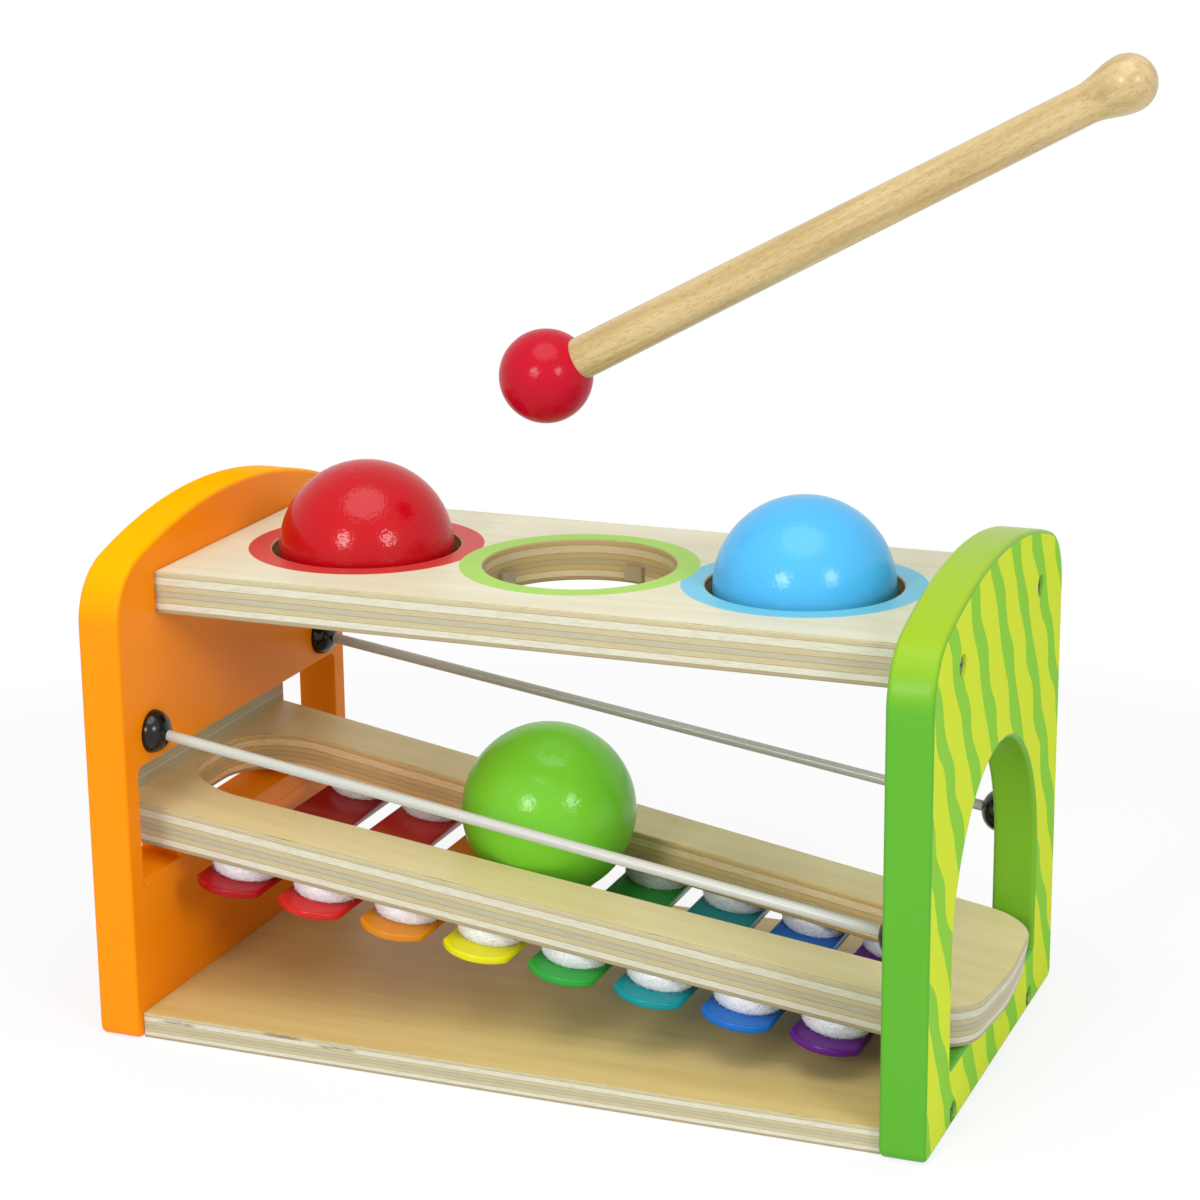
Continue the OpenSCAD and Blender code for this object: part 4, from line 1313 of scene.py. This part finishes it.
# %% Materials for the other solids
BATTEN_PLY, BATTEN_SPECKLE, BATTEN_STAIN = 3.2, ((0.35, 0.35, 2.2), 4.0, 0.7), 0.3
BATTEN_STOPS = [
    (0.0, PLY_GREY), (0.44, PLY_WHITE), (0.48, GLUE), (0.52, PLY_GOLD), (0.94, PLY_GOLD), (1.0, GLUE),
]


def plain_ply(name):
    """Plywood for a solid without grain values: two plies that repeat along z."""
    shader = Shader(name, Roughness=0.45, Coat_Weight=0.2)
    place = shader.stretch(shader.place(), (1 / MM,) * 3)
    level = shader.math("FRACT", shader.math("DIVIDE", shader.split(place)[2], BATTEN_PLY))
    speckle = shader.product(shader.figure(place, *BATTEN_SPECKLE), BATTEN_STAIN)
    shader.set(Base_Color=shader.mix(speckle, shader.ramp(level, BATTEN_STOPS), GLUE))
    return shader.material


CLEAR_RUBBER = plain_finish("clear_rubber", (172, 156, 120), Roughness=0.35, Transmission_Weight=0.3)
STEEL = plain_finish("screw_steel", (136, 140, 147), Roughness=0.35, Metallic=0.8)
KEPT = {
    "stop_batten": plain_ply("batten_ply"), "end_bar": ORANGE_PAINT, "gripping_pads": CLEAR_RUBBER,
    "left_panel_screws": STEEL, "right_panel_screws": STEEL, "front_key_pins": STEEL, "rear_key_pins": STEEL,
}
for name, material in KEPT.items():
    mesh = frame["nodes"][name].data
    mesh.materials.clear()
    mesh.materials.append(material)
    print(f"{name}: {material.name}")

# %% [markdown]
# ## Camera
#
# The bench is seen from the front, to the right and a little from above, through a long lens. A camera
# could be moved by eye until the view looks right. Its place and turn were fitted to edges, holes and
# balls of the real object instead, so they are given as numbers. Its three directions are worked out
# from the turn, and the lights use them again.

# %% Camera
CAMERA_PLACE = np.array([294.692, -724.025, 331.767]) * MM
YAW, PITCH, ROLL = (math.radians(angle) for angle in (21.757, -15.399, -0.59))
FOCAL_PX, FRAME_PX, SENSOR = 3025.964, 1200.0, 36.0
CLIP_NEAR, CLIP_FAR = 0.01, 50.0
forward = np.array([-math.sin(YAW) * math.cos(PITCH), math.cos(YAW) * math.cos(PITCH), math.sin(PITCH)])
level_right = np.array([math.cos(YAW), math.sin(YAW), 0.0])
level_up = np.cross(level_right, forward)
right_way = math.cos(ROLL) * level_right + math.sin(ROLL) * level_up
up_way = math.cos(ROLL) * level_up - math.sin(ROLL) * level_right


def put_in_scene(name, data, directions, place):
    """An object whose own x, y and z point along three directions, at a place in metres."""
    made = bpy.data.objects.new(name, data)
    bpy.context.scene.collection.objects.link(made)
    matrix = np.eye(4)
    matrix[:3, :3] = np.stack(directions, axis=1)
    matrix[:3, 3] = place
    made.matrix_world = Matrix(matrix.tolist())
    return made


lens = bpy.data.cameras.new("camera")
lens.sensor_width, lens.lens = SENSOR, FOCAL_PX / FRAME_PX * SENSOR
lens.clip_start, lens.clip_end = CLIP_NEAR, CLIP_FAR
bpy.context.scene.camera = put_in_scene("camera", lens, [right_way, up_way, -forward], CAMERA_PLACE)
print(f"camera with a lens of {lens.lens:.1f} mm")

# %% [markdown]
# ## Light
#
# Toys are pictured under soft boxes, whose shapes show as pale spots on the balls. Point lamps would give
# hard shadows and tiny spots, so three round area lights stand in for the boxes. The spots on the balls
# tell where the boxes are, so their directions are given along the camera's own axes.

# %% Light
AIM = np.array([0.0, 0.0, 0.09])
# Each box: its direction to the right, up and towards the camera, distance and width in metres, and watts
LIGHTS = [
    ("left_box", (-0.462, 0.15, 0.874), 1.5, 0.42, 7.9),
    ("right_box", (0.497, 0.19, 0.847), 1.5, 0.40, 6.0),
    ("top_box", (-0.035, 0.853, 0.514), 1.4, 1.2, 10.8),
]
for name, (side, up, back), distance, size, power in LIGHTS:
    way = side * right_way + up * up_way - back * forward
    way /= np.linalg.norm(way)
    across = np.cross([0, 0, 1], way)
    across /= np.linalg.norm(across)
    lamp = bpy.data.lights.new(name, "AREA")
    lamp.shape, lamp.size, lamp.energy = "DISK", size, power
    put_in_scene(name, lamp, [across, np.cross(way, across), way], AIM + way * distance)
    print(f"{name}: {power} W, {size} m wide")

# %% [markdown]
# ## Floor and sky
#
# The bench stands on a white sweep of paper. More light on a grey floor would bleach the bench too. So
# floor and sky are plain white to the camera, and to rays off gloss and through clear pieces, while a
# dim sky fills the shade. Close to the bench the floor keeps a share of its own shading, which is the
# soft shadow.

# %% Floor and sky
FLOOR_HALF, FLOOR_WHITE, SHADOW_NEAR, SHADOW_FAR = 6.0, 0.8, 0.15, 0.4
FLOOR_PALE, SKY = 0.85, 0.52


def white_to_view(nodes, lit, kind, share=1.0):
    """Mixes a lit shader with plain white for rays from the camera, from gloss and through clear pieces."""
    path = nodes.node("ShaderNodeLightPath").outputs
    seen = nodes.math("MAXIMUM", path["Is Camera Ray"], path["Is Glossy Ray"])
    seen = nodes.math("MAXIMUM", seen, path["Is Transmission Ray"])
    white = nodes.node("ShaderNodeEmission").outputs[0]
    mixed = nodes.node("ShaderNodeMixShader", {0: nodes.product(seen, share), 1: lit, 2: white}).outputs[0]
    output = next(node for node in nodes.tree.nodes if node.type == kind)
    nodes.put(output.inputs[0], mixed)


floor_mesh = bpy.data.meshes.new("floor")
corners = rectangle((-FLOOR_HALF, -FLOOR_HALF), (FLOOR_HALF, FLOOR_HALF))
floor_mesh.from_pydata([(x, y, 0.0) for x, y in corners], [], [range(4)])
floor = bpy.data.objects.new("floor", floor_mesh)
bpy.context.scene.collection.objects.link(floor)
paper = Shader("floor_white", Base_Color=(FLOOR_PALE, FLOOR_PALE, FLOOR_PALE, 1), Roughness=0.9)
floor_mesh.materials.append(paper.material)
far_off = paper.between(paper.length(paper.place()), SHADOW_NEAR, SHADOW_FAR)
white_to_view(paper, paper.bsdf.outputs[0], "OUTPUT_MATERIAL", paper.math("MAXIMUM", far_off, FLOOR_WHITE))

world = bpy.data.worlds.new("studio")
bpy.context.scene.world = world
world.use_nodes = True
sky = world.node_tree.nodes["Background"]
sky.inputs["Color"].default_value = (1, 1, 1, 1)
sky.inputs["Strength"].default_value = SKY
white_to_view(Nodes(world.node_tree), sky.outputs[0], "OUTPUT_WORLD")
bpy.context.scene.view_settings.view_transform = "Standard"
print(f"floor {2 * FLOOR_HALF:.0f} m wide under a sky of {SKY}")

# %% [markdown] ## End
